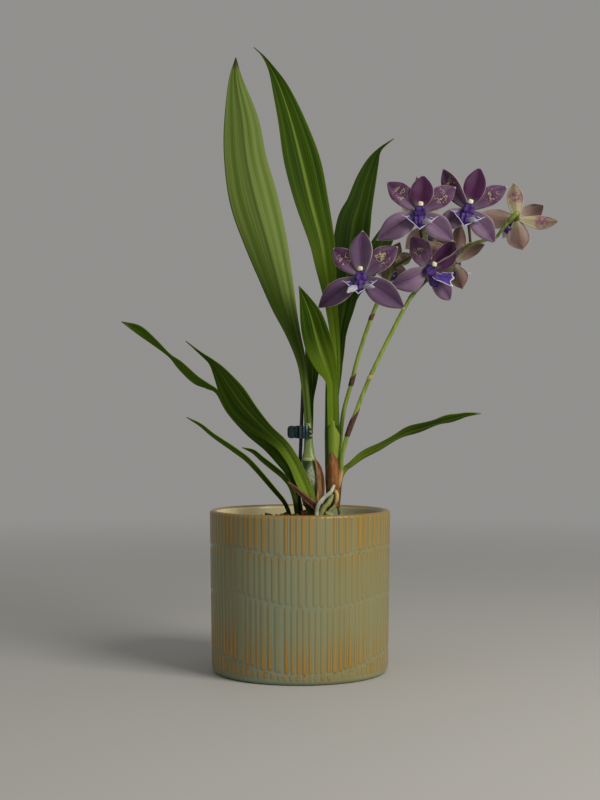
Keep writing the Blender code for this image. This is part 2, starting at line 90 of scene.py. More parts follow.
def add_floor():
    bpy.ops.mesh.primitive_circle_add(vertices=96, radius=4, fill_type="NGON")
    floor = bpy.context.object
    floor.name = "studio_floor"
    material = bpy.data.materials.new("studio_floor_paint")
    material.use_nodes = True
    nodes, links = material.node_tree.nodes, material.node_tree.links
    shader = nodes["Principled BSDF"]
    shader.inputs["Base Color"].default_value = (0.5, 0.49, 0.47, 1)
    shader.inputs["Roughness"].default_value = 0.7
    shader.inputs["Specular IOR Level"].default_value = 0.2
    where = nodes.new("ShaderNodeTexCoord")
    far = nodes.new("ShaderNodeVectorMath")
    far.operation = "LENGTH"
    fade = nodes.new("ShaderNodeMapRange")
    fade.interpolation_type = "SMOOTHSTEP"
    fade.inputs["From Min"].default_value = 0.3
    fade.inputs["From Max"].default_value = 1.7
    clear = nodes.new("ShaderNodeBsdfTransparent")
    mix = nodes.new("ShaderNodeMixShader")
    links.new(where.outputs["Object"], far.inputs[0])
    links.new(far.outputs["Value"], fade.inputs["Value"])
    links.new(fade.outputs["Result"], mix.inputs["Fac"])
    links.new(shader.outputs["BSDF"], mix.inputs[1])
    links.new(clear.outputs["BSDF"], mix.inputs[2])
    links.new(mix.outputs["Shader"], nodes["Material Output"].inputs["Surface"])
    floor.data.materials.append(material)


bpy.ops.object.select_all(action="DESELECT")
add_camera()
add_softbox("softbox_right", (0.95, -0.85, 0.95), 0.7, 16.5, (1, 0.97, 0.9))
add_softbox("softbox_left", (-1.3, -0.9, 0.6), 0.9, 0.7, (0.92, 0.96, 1))
add_room()
add_floor()

# ---------------------------------------------------------------- the bench
# Small jobs that every section shares: clear the selection, work a modifier in, join and hand over.


def deselect_all():
    if bpy.context.mode != "OBJECT":
        bpy.ops.object.mode_set(mode="OBJECT")
    bpy.ops.object.select_all(action="DESELECT")


def work_in(piece, kind, **settings):
    """Give the piece a modifier with its settings, and apply it."""
    bpy.ops.object.modifier_add(type=kind)
    modifier = piece.modifiers[-1]
    for name, value in settings.items():
        setattr(modifier, name, value)
    bpy.ops.object.modifier_apply(modifier=modifier.name)


def join_pieces(pieces, name):
    deselect_all()
    for piece in pieces:
        piece.select_set(True)
    bpy.context.view_layer.objects.active = pieces[0]
    if len(pieces) > 1:
        bpy.ops.object.join()
    piece = bpy.context.object
    piece.name = name
    return piece


def place_part(piece, body, slot_name, *nodes):
    """Hand a finished piece over: the nodes it stands for are hidden and it joins its body; slot_name is not
    used.
    """
    if nodes:
        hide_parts(*nodes)
    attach(piece, body)


# ---------------------------------------------------------------- cover pot
# The cover pot is cast stoneware with four bands of raised upright bars, whose ends follow wavy
# lines round the pot. Its glaze pools sage green between the bars and breaks to amber on them.

POT_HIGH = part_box("cachepot")[1]
POT_HEIGHT = POT_HIGH.z
POT_RADIUS = POT_HIGH.x
POT_FOOT_RADIUS = 65.6 * MM
POT_COLUMNS = 720
POT_ROWS = 106
POT_WALL = 5.2 * MM
POT_FLOOR = 6.5 * MM
POT_BANDS = 4
POT_BARS_ROUND = 87
POT_BAR_HEIGHT = 0.3 * MM
# In mm: where the top band starts and the bottom one ends, a bar's corner, and where a bar counts as wide.
POT_BAR_TOP = 118.8
POT_BAR_BOTTOM = 4.6
POT_BAR_CORNER = 1.3
POT_BAR_WIDE_HALF = 2


def select_where(piece, test):
    """Select the piece's vertices that pass the test, in edit mode."""
    bpy.ops.object.mode_set(mode="EDIT")
    bpy.ops.mesh.select_mode(type="VERT")
    bpy.ops.mesh.select_all(action="DESELECT")
    shape = bmesh.from_edit_mesh(piece.data)
    for vert in shape.verts:
        vert.select = test(vert.co)
    shape.select_flush(True)
    bmesh.update_edit_mesh(piece.data)


def extrude_ring(shrink, rise):
    """Extrude the selected ring of edges, then scale it about the axis and lift it."""
    bpy.ops.mesh.extrude_region_move(TRANSFORM_OT_translate={"value": (0, 0, rise)})
    bpy.ops.transform.resize(value=(shrink, shrink, 1))


def carry_ring(rings):
    """Extrude the selected ring through (radius, height) pairs, each worked from the one before."""
    for (radius, height), (next_radius, next_height) in zip(rings, rings[1:]):
        extrude_ring(next_radius / radius, next_height - height)


def cast_pot_body():
    """An upright tube cut into rows, whose ends are carried on to make the rim, the inside and the foot."""
    foot_edge, rim_edge = 3 * MM, 1.6 * MM
    low, high = foot_edge, POT_HEIGHT - rim_edge
    bpy.ops.mesh.primitive_cylinder_add(vertices=POT_COLUMNS, radius=POT_RADIUS, depth=high - low,
                                        end_fill_type="NOTHING", location=(0, 0, (high + low) / 2))
    pot = bpy.context.object
    bpy.ops.object.transform_apply(location=True)
    bpy.ops.object.mode_set(mode="EDIT")
    bpy.ops.mesh.select_mode(type="EDGE")
    shape = bmesh.from_edit_mesh(pot.data)
    for edge in shape.edges:
        edge.select = abs(edge.verts[0].co.z - edge.verts[1].co.z) > MM
    bmesh.update_edit_mesh(pot.data)
    bpy.ops.mesh.subdivide(number_cuts=POT_ROWS)
    select_where(pot, lambda co: co.z > high - 0.01 * MM)
    outer, inner = POT_RADIUS, POT_RADIUS - POT_WALL
    carry_ring([(outer, high), (outer - 0.5 * MM, POT_HEIGHT - 0.6 * MM),
                (outer - 1.3 * MM, POT_HEIGHT - 0.1 * MM), (outer - 2.3 * MM, POT_HEIGHT),
                (inner + 1.5 * MM, POT_HEIGHT - 0.3 * MM), (inner + 0.5 * MM, POT_HEIGHT - 1.2 * MM),
                (inner, POT_HEIGHT - 3 * MM), (inner - 0.4 * MM, POT_HEIGHT * 0.8),
                (inner - 0.8 * MM, POT_HEIGHT * 0.5), (inner - 1.4 * MM, POT_FLOOR + 8 * MM),
                (inner - 3.2 * MM, POT_FLOOR + 2.4 * MM), (inner - 8 * MM, POT_FLOOR),
                (20 * MM, POT_FLOOR), (2 * MM, POT_FLOOR)])
    bpy.ops.mesh.edge_face_add()
    select_where(pot, lambda co: abs(co.z - low) < 0.01 * MM and co.xy.length > outer - MM)
    carry_ring([(outer, low), (outer - 0.5 * MM, 1.6 * MM), (outer - 1.4 * MM, 0.7 * MM),
                (outer - 3 * MM, 0.15 * MM), (outer - 4.4 * MM, 0), (30 * MM, 0), (2 * MM, 0)])
    bpy.ops.mesh.edge_face_add()
    bpy.ops.mesh.select_all(action="SELECT")
    bpy.ops.mesh.normals_make_consistent(inside=False)
    bpy.ops.object.mode_set(mode="OBJECT")
    return pot


def bar_lines(turn):
    """The heights in mm of the three wavy lines between the bands, at an angle from the front."""
    first = 90 + 2.6 * (1 - np.cos(3 * (turn - 0.087))) - 0.8 * np.sin(turn)
    second = 54.3 + 3.8 * (1 - np.cos(3 * (turn - 0.14))) - 2.2 * np.sin(turn)
    third = 7 + 6.5 * (1 - np.cos(2 * (turn - 0.087)))
    return first, second, third


def spread_bars(dice):
    """Bars of unlike widths round the pot: where each starts, and its half width, as angles."""
    bars = []
    for _ in range(POT_BARS_ROUND):
        wide = dice.random() < 0.07
        bars.append((dice.uniform(4.4, 5.4) if wide else dice.uniform(2.1, 3.7), dice.uniform(1.1, 2.2)))
    scale = math.tau / sum(bar + gap for bar, gap in bars)
    middles, halves, place = [], [], -math.pi
    for bar, gap in bars:
        middles.append(place + (bar + gap) / 2 * scale)
        halves.append(bar / 2 * scale)
        place += (bar + gap) * scale
    return np.array(middles), np.array(halves)


def band_amber(index, along):
    """How far a band's bars break to amber, from their tops at 0 to their feet at 1."""
    return (0.95 - 0.3 * along,
            0.7 * np.exp(-along * 7) + 0.12,
            0.12 + 0.85 * np.clip(along * 1.7 - 0.55, 0, 1),
            0.85 - 0.2 * along)[index]


def lay_band(index, turn, height):
    """How far in mm each place is from the edge of its bar, less than 0 on the bar, and its amber."""
    dice = random.Random(11 + index)
    middles, halves = spread_bars(dice)
    arc = POT_RADIUS / MM
    shades = np.array([dice.uniform(0.35, 1) for _ in middles])
    shades[halves * arc > POT_BAR_WIDE_HALF] *= 0.25
    jitter = np.array([dice.uniform(0, 1.1) for _ in middles])
    lines = bar_lines(middles)
    tops = [np.full(len(middles), POT_BAR_TOP), *[line - 0.5 - jitter for line in lines]]
    feet = [*[line + 0.5 + jitter for line in lines], np.full(len(middles), POT_BAR_BOTTOM)]
    step = np.clip(np.searchsorted((middles[1:] + middles[:-1]) / 2, turn), 0, len(middles) - 1)
    across = np.abs((turn - middles[step] + math.pi) % math.tau - math.pi) * arc
    half, top, foot = halves[step] * arc, tops[index][step], feet[index][step]
    corner = np.minimum(half, POT_BAR_CORNER)
    over = np.maximum(across - (half - corner), -9)
    past = np.abs(height - (top + foot) / 2) - np.maximum((top - foot) / 2 - corner, 0.2)
    outer, inner = np.hypot(np.maximum(over, 0), np.maximum(past, 0)), np.minimum(np.maximum(over, past), 0)
    along = np.clip((top - height) / np.maximum(top - foot, 1), 0, 1)
    return outer + inner - corner, band_amber(index, along) * shades[step]


def raise_bars(pot):
    """Lift the bars from the wall, and keep where they are for the glaze to read."""
    count = len(pot.data.vertices)
    places = np.zeros(count * 3)
    pot.data.vertices.foreach_get("co", places)
    places = places.reshape(-1, 3)
    radius = np.hypot(places[:, 0], places[:, 1])
    turn = np.arctan2(places[:, 0], -places[:, 1])
    height = places[:, 2] / MM
    outside = radius > POT_RADIUS - 1.5 * MM
    band = sum((height < line).astype(int) for line in bar_lines(turn))
    lift, amber, rim = np.zeros(count), np.zeros(count), np.full(count, 9.0)
    for index in range(POT_BANDS):
        gap, share = lay_band(index, turn, height)
        rise = np.clip((0.35 - gap) / 0.95, 0, 1)
        here = (band == index) & outside
        lift[here] = (rise * rise * (3 - 2 * rise))[here]
        rim[here] = gap[here]
        amber[here] = share[here]
    taper = POT_FOOT_RADIUS / POT_RADIUS + (1 - POT_FOOT_RADIUS / POT_RADIUS) * height * MM / POT_HEIGHT
    swell = taper + np.where(outside, (lift - 0.9) * POT_BAR_HEIGHT / POT_RADIUS, 0)
    places[:, :2] *= swell[:, None]
    pot.data.vertices.foreach_set("co", places.ravel())
    edge = np.exp(-((rim + 0.1) / 0.38) ** 2)
    inside = np.where((radius < POT_RADIUS - 2 * MM) & (height > 3), 1.0, 0.0)
    for name, values in (("bar", lift), ("amber", amber), ("bar_edge", edge), ("inside", inside)):
        pot.data.attributes.new(name, "FLOAT", "POINT").data.foreach_set("value", values)
    pot.data.update()


class Recipe:
    """A material that is put together node by node."""

    def __init__(self, name):
        self.material = bpy.data.materials.new(name)
        self.material.use_nodes = True
        self.nodes, self.links = self.material.node_tree.nodes, self.material.node_tree.links
        self.shader = self.nodes["Principled BSDF"]
        self.places = self.nodes.new("ShaderNodeTexCoord")

    def put(self, socket, value):
        """Give a socket a fixed value, or join it to another socket."""
        if isinstance(value, bpy.types.NodeSocket):
            self.links.new(value, socket)
        elif isinstance(value, tuple) and len(value) == 3 and socket.type == "RGBA":
            socket.default_value = (*value, 1)
        else:
            socket.default_value = value

    def set(self, **values):
        for name, value in values.items():
            self.put(self.shader.inputs[name.replace("_", " ")], value)

    def attribute(self, name):
        node = self.nodes.new("ShaderNodeAttribute")
        node.attribute_name = name
        return node.outputs["Fac"]

    def math(self, operation, first, second=0.0, clamp=False):
        node = self.nodes.new("ShaderNodeMath")
        node.operation, node.use_clamp = operation, clamp
        self.put(node.inputs[0], first)
        self.put(node.inputs[1], second)
        return node.outputs[0]

    def times(self, first, second, clamp=False):
        return self.math("MULTIPLY", first, second, clamp)

    def plus(self, first, second, clamp=False):
        return self.math("ADD", first, second, clamp)

    def away(self, value, centre):
        """How far a value is from a centre, to either side."""
        return self.math("ABSOLUTE", self.math("SUBTRACT", value, centre))

    def ramp(self, value, low, high, out_low=0.0, out_high=1.0):
        """Map a value from one range to another, smoothly and clamped."""
        node = self.nodes.new("ShaderNodeMapRange")
        node.interpolation_type = "SMOOTHSTEP"
        for name, number in zip(("Value", "From Min", "From Max", "To Min", "To Max"),
                                (value, low, high, out_low, out_high)):
            self.put(node.inputs[name], number)
        return node.outputs["Result"]

    def mix(self, share, first, second):
        node = self.nodes.new("ShaderNodeMix")
        node.data_type = "RGBA"
        self.put(node.inputs["Factor"], share)
        self.put(node.inputs[6], first)
        self.put(node.inputs[7], second)
        return node.outputs[2]

    def blend(self, pattern, first, second):
        """Go from one colour to the other where the pattern passes its middle."""
        return self.mix(self.ramp(pattern, 0.35, 0.65), first, second)

    def stretch(self, scale, source="Object"):
        node = self.nodes.new("ShaderNodeMapping")
        self.put(node.inputs["Vector"], self.places.outputs[source])
        node.inputs["Scale"].default_value = scale
        return node.outputs["Vector"]

    def noise(self, scale, detail=3.0, stretch=(1, 1, 1), source="Object", rough=0.5):
        node = self.nodes.new("ShaderNodeTexNoise")
        self.put(node.inputs["Vector"], self.stretch(stretch, source))
        node.inputs["Scale"].default_value = scale
        node.inputs["Detail"].default_value = detail
        node.inputs["Roughness"].default_value = rough
        return node.outputs["Fac"]

    def axis(self, name, source="Object"):
        node = self.nodes.new("ShaderNodeSeparateXYZ")
        self.put(node.inputs[0], self.places.outputs[source])
        return node.outputs[name]

    def bump(self, height, depth, strength=1.0):
        node = self.nodes.new("ShaderNodeBump")
        node.inputs["Strength"].default_value = strength
        node.inputs["Distance"].default_value = depth
        self.put(node.inputs["Height"], height)
        self.put(self.shader.inputs["Normal"], node.outputs["Normal"])


def reactive_glaze():
    glaze = Recipe("reactive_glaze")
    sage, shaded_sage, olive = (0.24, 0.285, 0.19), (0.18, 0.195, 0.1), (0.265, 0.21, 0.055)
    right = glaze.ramp(glaze.axis("X"), -0.03, 0.06)
    cloud = glaze.noise(26, 3, (1, 1, 0.5))
    # Painted shade: the sage ground darkens to a shaded sage towards the pot's left side.
    ground = glaze.mix(glaze.ramp(glaze.axis("X"), -0.062, -0.02), shaded_sage, sage)
    ground = glaze.mix(glaze.times(right, 0.75), ground, olive)
    ground = glaze.mix(glaze.ramp(cloud, 0.35, 0.7, 0, 0.35), ground, (0.3, 0.33, 0.2))
    bar = glaze.attribute("bar")
    amber = glaze.attribute("amber")
    run = glaze.noise(320, 2, (1, 1, 0.08))
    warm = glaze.times(glaze.times(amber, bar), glaze.ramp(run, 0.3, 0.6, 0.65, 1.1), True)
    plain = glaze.mix(glaze.times(bar, 0.34), ground, (0.26, 0.23, 0.09))
    colour = glaze.mix(warm, plain, (0.45, 0.215, 0.012))
    edge = glaze.times(glaze.attribute("bar_edge"), glaze.plus(glaze.times(amber, 0.5), 0.22))
    colour = glaze.mix(edge, colour, (0.14, 0.085, 0.03))
    speck = glaze.ramp(glaze.noise(900, 1), 0.7, 0.78, 0, 0.35)
    colour = glaze.mix(speck, colour, (0.2, 0.13, 0.05))
    height = glaze.axis("Z")
    lip = glaze.ramp(glaze.plus(height, glaze.times(cloud, 0.0012)), POT_HEIGHT - 0.0013,
                     POT_HEIGHT + 0.0002)
    inside = glaze.attribute("inside")
    # The inside is cream glaze; its darker grey-green right half is painted shade.
    cream = glaze.mix(glaze.ramp(glaze.axis("X"), -0.02, 0.035), (0.82, 0.71, 0.4), (0.46, 0.47, 0.28))
    cream = glaze.mix(glaze.ramp(cloud, 0.3, 0.7, 0, 0.3), cream, (0.5, 0.47, 0.28))
    colour = glaze.mix(inside, colour, cream)
    colour = glaze.mix(lip, colour, (0.3, 0.17, 0.04))
    glaze.set(Base_Color=colour, Roughness=0.24, IOR=1.45, Specular_IOR_Level=0.36)
    glaze.bump(glaze.plus(glaze.noise(60, 2), glaze.times(run, 0.15)), 0.0006, 0.35)
    return glaze.material


def make_cover_pot():
    deselect_all()
    pot = cast_pot_body()
    raise_bars(pot)
    bpy.ops.object.shade_smooth()
    pot.name = "glazed_cover_pot"
    pot.data.materials.append(reactive_glaze())
    place_part(pot, "orchid", "glazed_stoneware", "cachepot")


make_cover_pot()

# ---------------------------------------------------------------- nursery pot and bark
# The plant stands in a thin black nursery pot with a rolled rim, filled with coarse pine bark. The
# bark is a dark bed with loose chips heaped on it, and a few crumbs and dry root ends at the front.

NURSERY_LOW, NURSERY_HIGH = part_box("nursery_pot")
BARK_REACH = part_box("bark_medium")[1].x
BARK_CHIPS = 230
BARK_CHIPS_REACH = 49


def black_plastic():
    plastic = Recipe("black_nursery_plastic")
    dust = plastic.noise(90, 4)
    colour = plastic.mix(plastic.ramp(dust, 0.45, 0.75, 0, 0.6), (0.012, 0.012, 0.013), (0.06, 0.055, 0.05))
    plastic.set(Base_Color=colour, Roughness=plastic.ramp(dust, 0.3, 0.7, 0.35, 0.6))
    plastic.bump(dust, 0.0002, 0.3)
    return plastic.material


def make_nursery_pot():
    deselect_all()
    rim, top, bottom = NURSERY_HIGH.x, NURSERY_HIGH.z, NURSERY_LOW.z
    foot, wall = 47 * MM, 0.9 * MM
    bpy.ops.mesh.primitive_circle_add(vertices=96, radius=foot, location=(0, 0, bottom), fill_type="NOTHING")
    pot = bpy.context.object
    bpy.ops.object.transform_apply(location=True)
    bpy.ops.object.mode_set(mode="EDIT")
    bpy.ops.mesh.select_all(action="SELECT")
    carry_ring([(foot, bottom), (rim - 1.5 * MM, top - 6 * MM), (rim, top - 6 * MM), (rim, top - 0.5 * MM),
                (rim - 0.5 * MM, top), (rim - 2 * MM, top), (rim - 2.4 * MM, top - 0.6 * MM),
                (rim - 2.6 * MM, top - 7 * MM), (foot - wall, bottom + wall), (2 * MM, bottom + wall)])
    bpy.ops.mesh.edge_face_add()
    select_where(pot, lambda co: abs(co.z - bottom) < 0.01 * MM)
    bpy.ops.mesh.edge_face_add()
    bpy.ops.mesh.select_all(action="SELECT")
    bpy.ops.mesh.normals_make_consistent(inside=False)
    bpy.ops.object.mode_set(mode="OBJECT")
    bpy.ops.object.shade_smooth_by_angle(angle=math.radians(40))
    pot.name = "black_nursery_pot"
    pot.data.materials.append(black_plastic())
    place_part(pot, "orchid", "nursery_plastic", "nursery_pot")


def pine_bark():
    bark = Recipe("pine_bark")
    grain = bark.noise(260, 5, (1, 1, 3.2))
    colour = bark.mix(bark.ramp(grain, 0.3, 0.7), (0.035, 0.018, 0.01), (0.17, 0.085, 0.04))
    colour = bark.mix(bark.ramp(bark.noise(60, 2), 0.52, 0.72, 0, 0.7), colour, (0.26, 0.16, 0.09))
    bark.set(Base_Color=colour, Roughness=0.85)
    bark.bump(grain, 0.0008, 0.8)
    return bark.material


def bark_height(radius):
    """The bark's height at a distance from the middle of the pot."""
    return float(np.interp(radius / MM, [0, 14, 32, 46, 51.5], [113, 112.4, 109.6, 106.1, 103.5])) * MM


def make_bark_bed(bark):
    """A drum whose top is cut fine and lumped, and whose foot goes down into the nursery pot."""
    middle, foot = 100 * MM, 30 * MM
    deselect_all()
    bpy.ops.mesh.primitive_cylinder_add(vertices=64, radius=BARK_REACH, depth=20 * MM, end_fill_type="TRIFAN",
                                        location=(0, 0, middle))
    bed = bpy.context.object
    bpy.ops.object.transform_apply(location=True)
    select_where(bed, lambda co: co.z > middle)
    for _ in range(3):
        bpy.ops.mesh.subdivide(number_cuts=1)
    bpy.ops.object.mode_set(mode="OBJECT")
    for vert in bed.data.vertices:
        if vert.co.z > middle:
            lump = noise.fractal(vert.co * 160, 0.8, 2, 3) * 1.1 * MM
            vert.co.z = bark_height(vert.co.xy.length) - 1.5 * MM + lump
        else:
            vert.co.xy *= 0.9
            vert.co.z = foot
    bpy.ops.object.shade_smooth()
    bed.name = "bark_bed"
    bed.data.materials.append(bark)
    place_part(bed, "orchid", "bark", "bark_medium")


def make_bark_chips(bark):
    """One chip is split from a block, and copies of it are turned, scaled and heaped on the bed."""
    dice = random.Random(4)
    bpy.ops.mesh.primitive_cube_add(size=1)
    chip = bpy.context.object
    bpy.ops.object.mode_set(mode="EDIT")
    bpy.ops.mesh.subdivide(number_cuts=1, fractal=0.9, seed=6)
    bpy.ops.mesh.bevel(offset=0.05, segments=1)
    bpy.ops.object.mode_set(mode="OBJECT")
    heap = []
    for _ in range(BARK_CHIPS):
        radius, turn = BARK_CHIPS_REACH * math.sqrt(dice.random()) * MM, dice.uniform(0, math.tau)
        size = Vector((dice.uniform(5, 12), dice.uniform(4, 8), dice.uniform(1.6, 4))) * MM
        tilt = Euler((dice.gauss(0, 0.35), dice.gauss(0, 0.35), dice.uniform(0, math.tau)))
        height = bark_height(radius) - 0.3 * MM + dice.uniform(-1, 1.2) * MM
        copy = bpy.data.objects.new("chip", chip.data.copy())
        bpy.context.collection.objects.link(copy)
        place = Vector((radius * math.sin(turn), radius * math.cos(turn), height))
        copy.data.transform(Matrix.LocRotScale(place, tilt, size))
        heap.append(copy)
    bpy.data.objects.remove(chip)
    chips = join_pieces(heap, "bark_chips")
    chips.data.materials.append(bark)
    place_part(chips, "orchid", "bark")


make_nursery_pot()
PINE_BARK = pine_bark()
make_bark_bed(PINE_BARK)
make_bark_chips(PINE_BARK)

# ---------------------------------------------------------------- leaves
# Long, thin, pleated leaves with many parallel veins and a sunken midrib: dark and glossy above,
# paler and dull beneath. Each is a fine strip laid along its run, then given its thickness.

LEAF_THICKNESS = 0.55 * MM
LEAF_ROWS_PER_STATION = 7
FRONT = Vector((0, -1, 0))

# Each leaf's skin, channel, wave, then stations of (x, y, z, width, roll) in mm and degrees.
LEAVES = {
    "a": ("pale", -0.2, 0.3, [
        (8, 0, 150, 12, 0), (7, 0, 157.5, 9.4, 0), (6.4, 0, 168, 6.6, 0), (6, 0, 184, 5.6, 0),
        (5, -1, 198, 5, 0), (3.5, -3, 213, 5.4, 0), (1, -6, 230, 7, 0), (-5, -10, 250, 11, 0),
        (-12, -14, 271, 18.5, 0), (-17, -18, 289, 24, 4), (-25, -24, 318, 32, 8), (-33, -30, 346, 35.5, 8),
        (-39, -35, 374, 31, 8), (-42, -38, 402, 25, 6), (-46, -40, 430, 10.5, 4), (-46, -41, 446, 0.4, 0)]),
    "b": ("bright", 0.2, 0.5, [
        (25.5, 1, 196, 5, 0), (27, 3, 217, 5, 0), (27.2, 5, 239, 6, 0), (24, 9, 269, 9, 0),
        (22, 12, 284, 11.5, 5), (19, 16, 304, 16.5, 10), (16, 20, 323, 20.5, 14), (8, 27, 355, 26.5, 14),
        (1, 33, 386, 28.5, 12), (-7, 38, 418, 21, 10), (-15, 42, 443, 13, 5), (-22, 44, 459, 5.5, 0),
        (-29, 45, 470, 1.6, 0), (-36, 46, 477, 0.4, 0)]),
    "c": ("bright", 0.2, 0.3, [
        (24.4, -4.6, 181, 8, 0), (24.2, -5.4, 199, 8.4, 0), (23.4, -6.4, 215, 8.8, 0),
        (19, -10, 227, 16.5, 0), (15, -12, 238, 20.5, 0), (11.4, -15, 250, 20, 0), (8.4, -18, 261, 17.2, 0),
        (5.6, -20, 269, 12.4, 0), (2.6, -22, 276.5, 6.6, 0), (-0.8, -24, 284, 0.4, 0)]),
    "d": ("dark", 0.2, 0.5, [
        (27, 5, 204, 4, 0), (29, 7.5, 222, 5, 0), (30, 9, 243, 7, 0), (31, 11, 258, 11.5, 0),
        (34, 14, 274, 16, 0), (37, 20, 304, 26.5, 0), (41, 27, 336, 26, 0), (46, 31, 353, 20, 0),
        (51, 35, 371, 15.5, 0), (56, 38, 385, 10, 0), (62, 40, 396, 3, 0), (73, 42, 405, 0.4, 0)]),
    "e": ("banded", 0.2, 0.4, [
        (9, -9, 115, 6, 0), (8, -10.5, 125, 7.4, 0), (5.8, -11, 132, 9.4, 0), (2, -11.5, 141, 10.4, -5),
        (-3.4, -11.5, 153, 9.4, -8), (-8.6, -10.5, 162, 9.8, -15), (-14, -8.5, 169, 10.5, -25),
        (-23, -5, 177, 14, -35), (-33, -1, 186.6, 23, -42), (-43.6, 4, 198.5, 30, -45),
        (-51.8, 7.4, 210, 25, -45), (-60.6, 11, 223, 15, -45), (-67, 13, 230.6, 6.6, -45),
        (-74, 15, 236, 3, -40), (-87, 18, 246, 0.4, -40)]),
    "f": ("dusky", 0.2, 0.3, [
        (1, 6, 114, 4, 0), (-1, 8, 124, 4.5, 0), (-3.5, 9, 135, 5, -10), (-8, 11, 147, 7, -20),
        (-15, 13, 157, 9, -25), (-24, 15, 167, 9.5, -30), (-38, 18, 179, 10, -35), (-53, 22, 194, 8, -40),
        (-63, 24, 208, 5, -50), (-71, 25, 213, 7, -50), (-80, 26, 218, 9, -45), (-92, 28, 229, 8, -45),
        (-100, 30, 236, 4, -50), (-111, 32, 246, 7, -45), (-124, 34, 256, 8, -35),
        (-138, 36, 262, 0.4, -30)]),
    "g": ("dusky", 0.2, 0.1, [
        (-5, -8, 110, 3, -40), (-7, -9, 115, 3.4, -40), (-11, -10, 125, 4, -40), (-18, -12, 134, 4.5, -40),
        (-36, -16, 155, 5, -40), (-47, -18, 164, 5, -40), (-63, -20, 175, 4, -40), (-73, -21, 183, 3, -40),
        (-83, -22, 188, 0.4, -40)]),
    "h": ("banded", 0.2, 0.1, [
        (-2, -4, 110, 3, -20), (-2.4, -4, 117, 3.4, -20), (-3.6, -4, 127, 4, -30),
        (-6.8, -4, 137.4, 4.4, -30), (-12.6, -4.6, 144.8, 4.6, -30), (-19.6, -5.4, 150.8, 5, -30),
        (-27.6, -7, 157.2, 4.5, -30), (-34.8, -8, 163.2, 3.5, -30), (-43, -9, 165.6, 0.4, -30)]),
    "j": ("banded", -0.15, 0.8, [
        (30, 0, 143, 7, 60), (33.6, 0, 149, 8.6, 60), (39, -1, 153, 10.4, 62), (48, -3, 160, 11.4, 64),
        (60, -6, 166.4, 11.6, 64), (71, -9, 172.6, 13, 64), (80, -11, 177, 13.8, 64),
        (90, -13, 180.4, 12.6, 64), (99, -15, 183.4, 12.6, 64), (107, -17, 185.8, 12.6, 62),
        (115, -18, 188, 8.6, 60), (122, -19, 190, 5, 50), (132.6, -20, 191.2, 0.4, 40)]),
    "k": ("dark", 0.2, 0.1, [
        (7.6, 2, 176, 4, 0), (8, 3.4, 189, 4, 0), (8.4, 4, 202, 4, 0), (9.4, 5, 216, 7.4, 0),
        (9.8, 6, 231, 11.6, 0), (11.6, 8, 250, 12.4, 0), (16, 10, 268, 0.6, 0)]),
    "l": ("dark", 0.2, 0.3, [
        (27, 7, 212, 4, 0), (30.5, 12, 232, 4.4, 0), (34, 17, 262, 6, 0), (42, 28, 286, 11, 0),
        (56, 42, 309, 17, 0), (66.5, 52, 329, 14, 0), (75, 57, 342, 8.5, 0), (81, 60, 350, 0.4, 0)]),
}


def smooth_run(stations, rows):
    """Rows read evenly from a smooth curve through the stations, in every column at once."""
    knots = np.array(stations, float)
    knots = np.vstack([2 * knots[0] - knots[1], knots, 2 * knots[-1] - knots[-2]])
    spans = len(stations) - 1
    run = []
    for row in range(rows + 1):
        place = row * spans / rows
        index = min(int(place), spans - 1)
        t = place - index
        a, b, c, d = knots[index:index + 4]
        run.append(0.5 * (2 * b + (c - a) * t + (2 * a - 5 * b + 4 * c - d) * t * t
                          + (3 * b - a - 3 * c + d) * t ** 3))
    return run


def run_frames(run):
    """The middle, the direction across, the direction of the face and the half width at each row."""
    frames = []
    for row, (x, y, z, width, roll) in enumerate(run):
        before, after = run[max(row - 1, 0)][:3], run[min(row + 1, len(run) - 1)][:3]
        along = (Vector(after) - Vector(before)).normalized()
        across = along.cross(FRONT).normalized()
        turn = Matrix.Rotation(math.radians(roll), 3, along)
        frames.append((Vector((x, y, z)), turn @ across, turn @ across.cross(along), max(width, 0.3) / 2))
    return frames


def lay_strip(name, stations, columns, rows, lift):
    """A fine grid laid along the stations; lift gives a point's height over the face, in mm."""
    deselect_all()
    bpy.ops.mesh.primitive_grid_add(x_subdivisions=columns, y_subdivisions=rows, size=2)
    strip = bpy.context.object
    strip.name = name
    frames = run_frames(smooth_run(stations, rows))
    for vert in strip.data.vertices:
        side, along = vert.co.x, (vert.co.y + 1) / 2
        middle, across, face, half = frames[round(along * rows)]
        vert.co = (middle + across * side * half + face * lift(side, along, half)) * MM
    bpy.ops.object.shade_smooth()
    return strip


def thicken(piece, thickness, materials):
    """Give a strip its wall: the first material on its face and the second on its back."""
    for material in materials:
        piece.data.materials.append(material)
    back = len(materials) - 1
    work_in(piece, "SOLIDIFY", thickness=thickness, offset=0, material_offset=back, material_offset_rim=back)


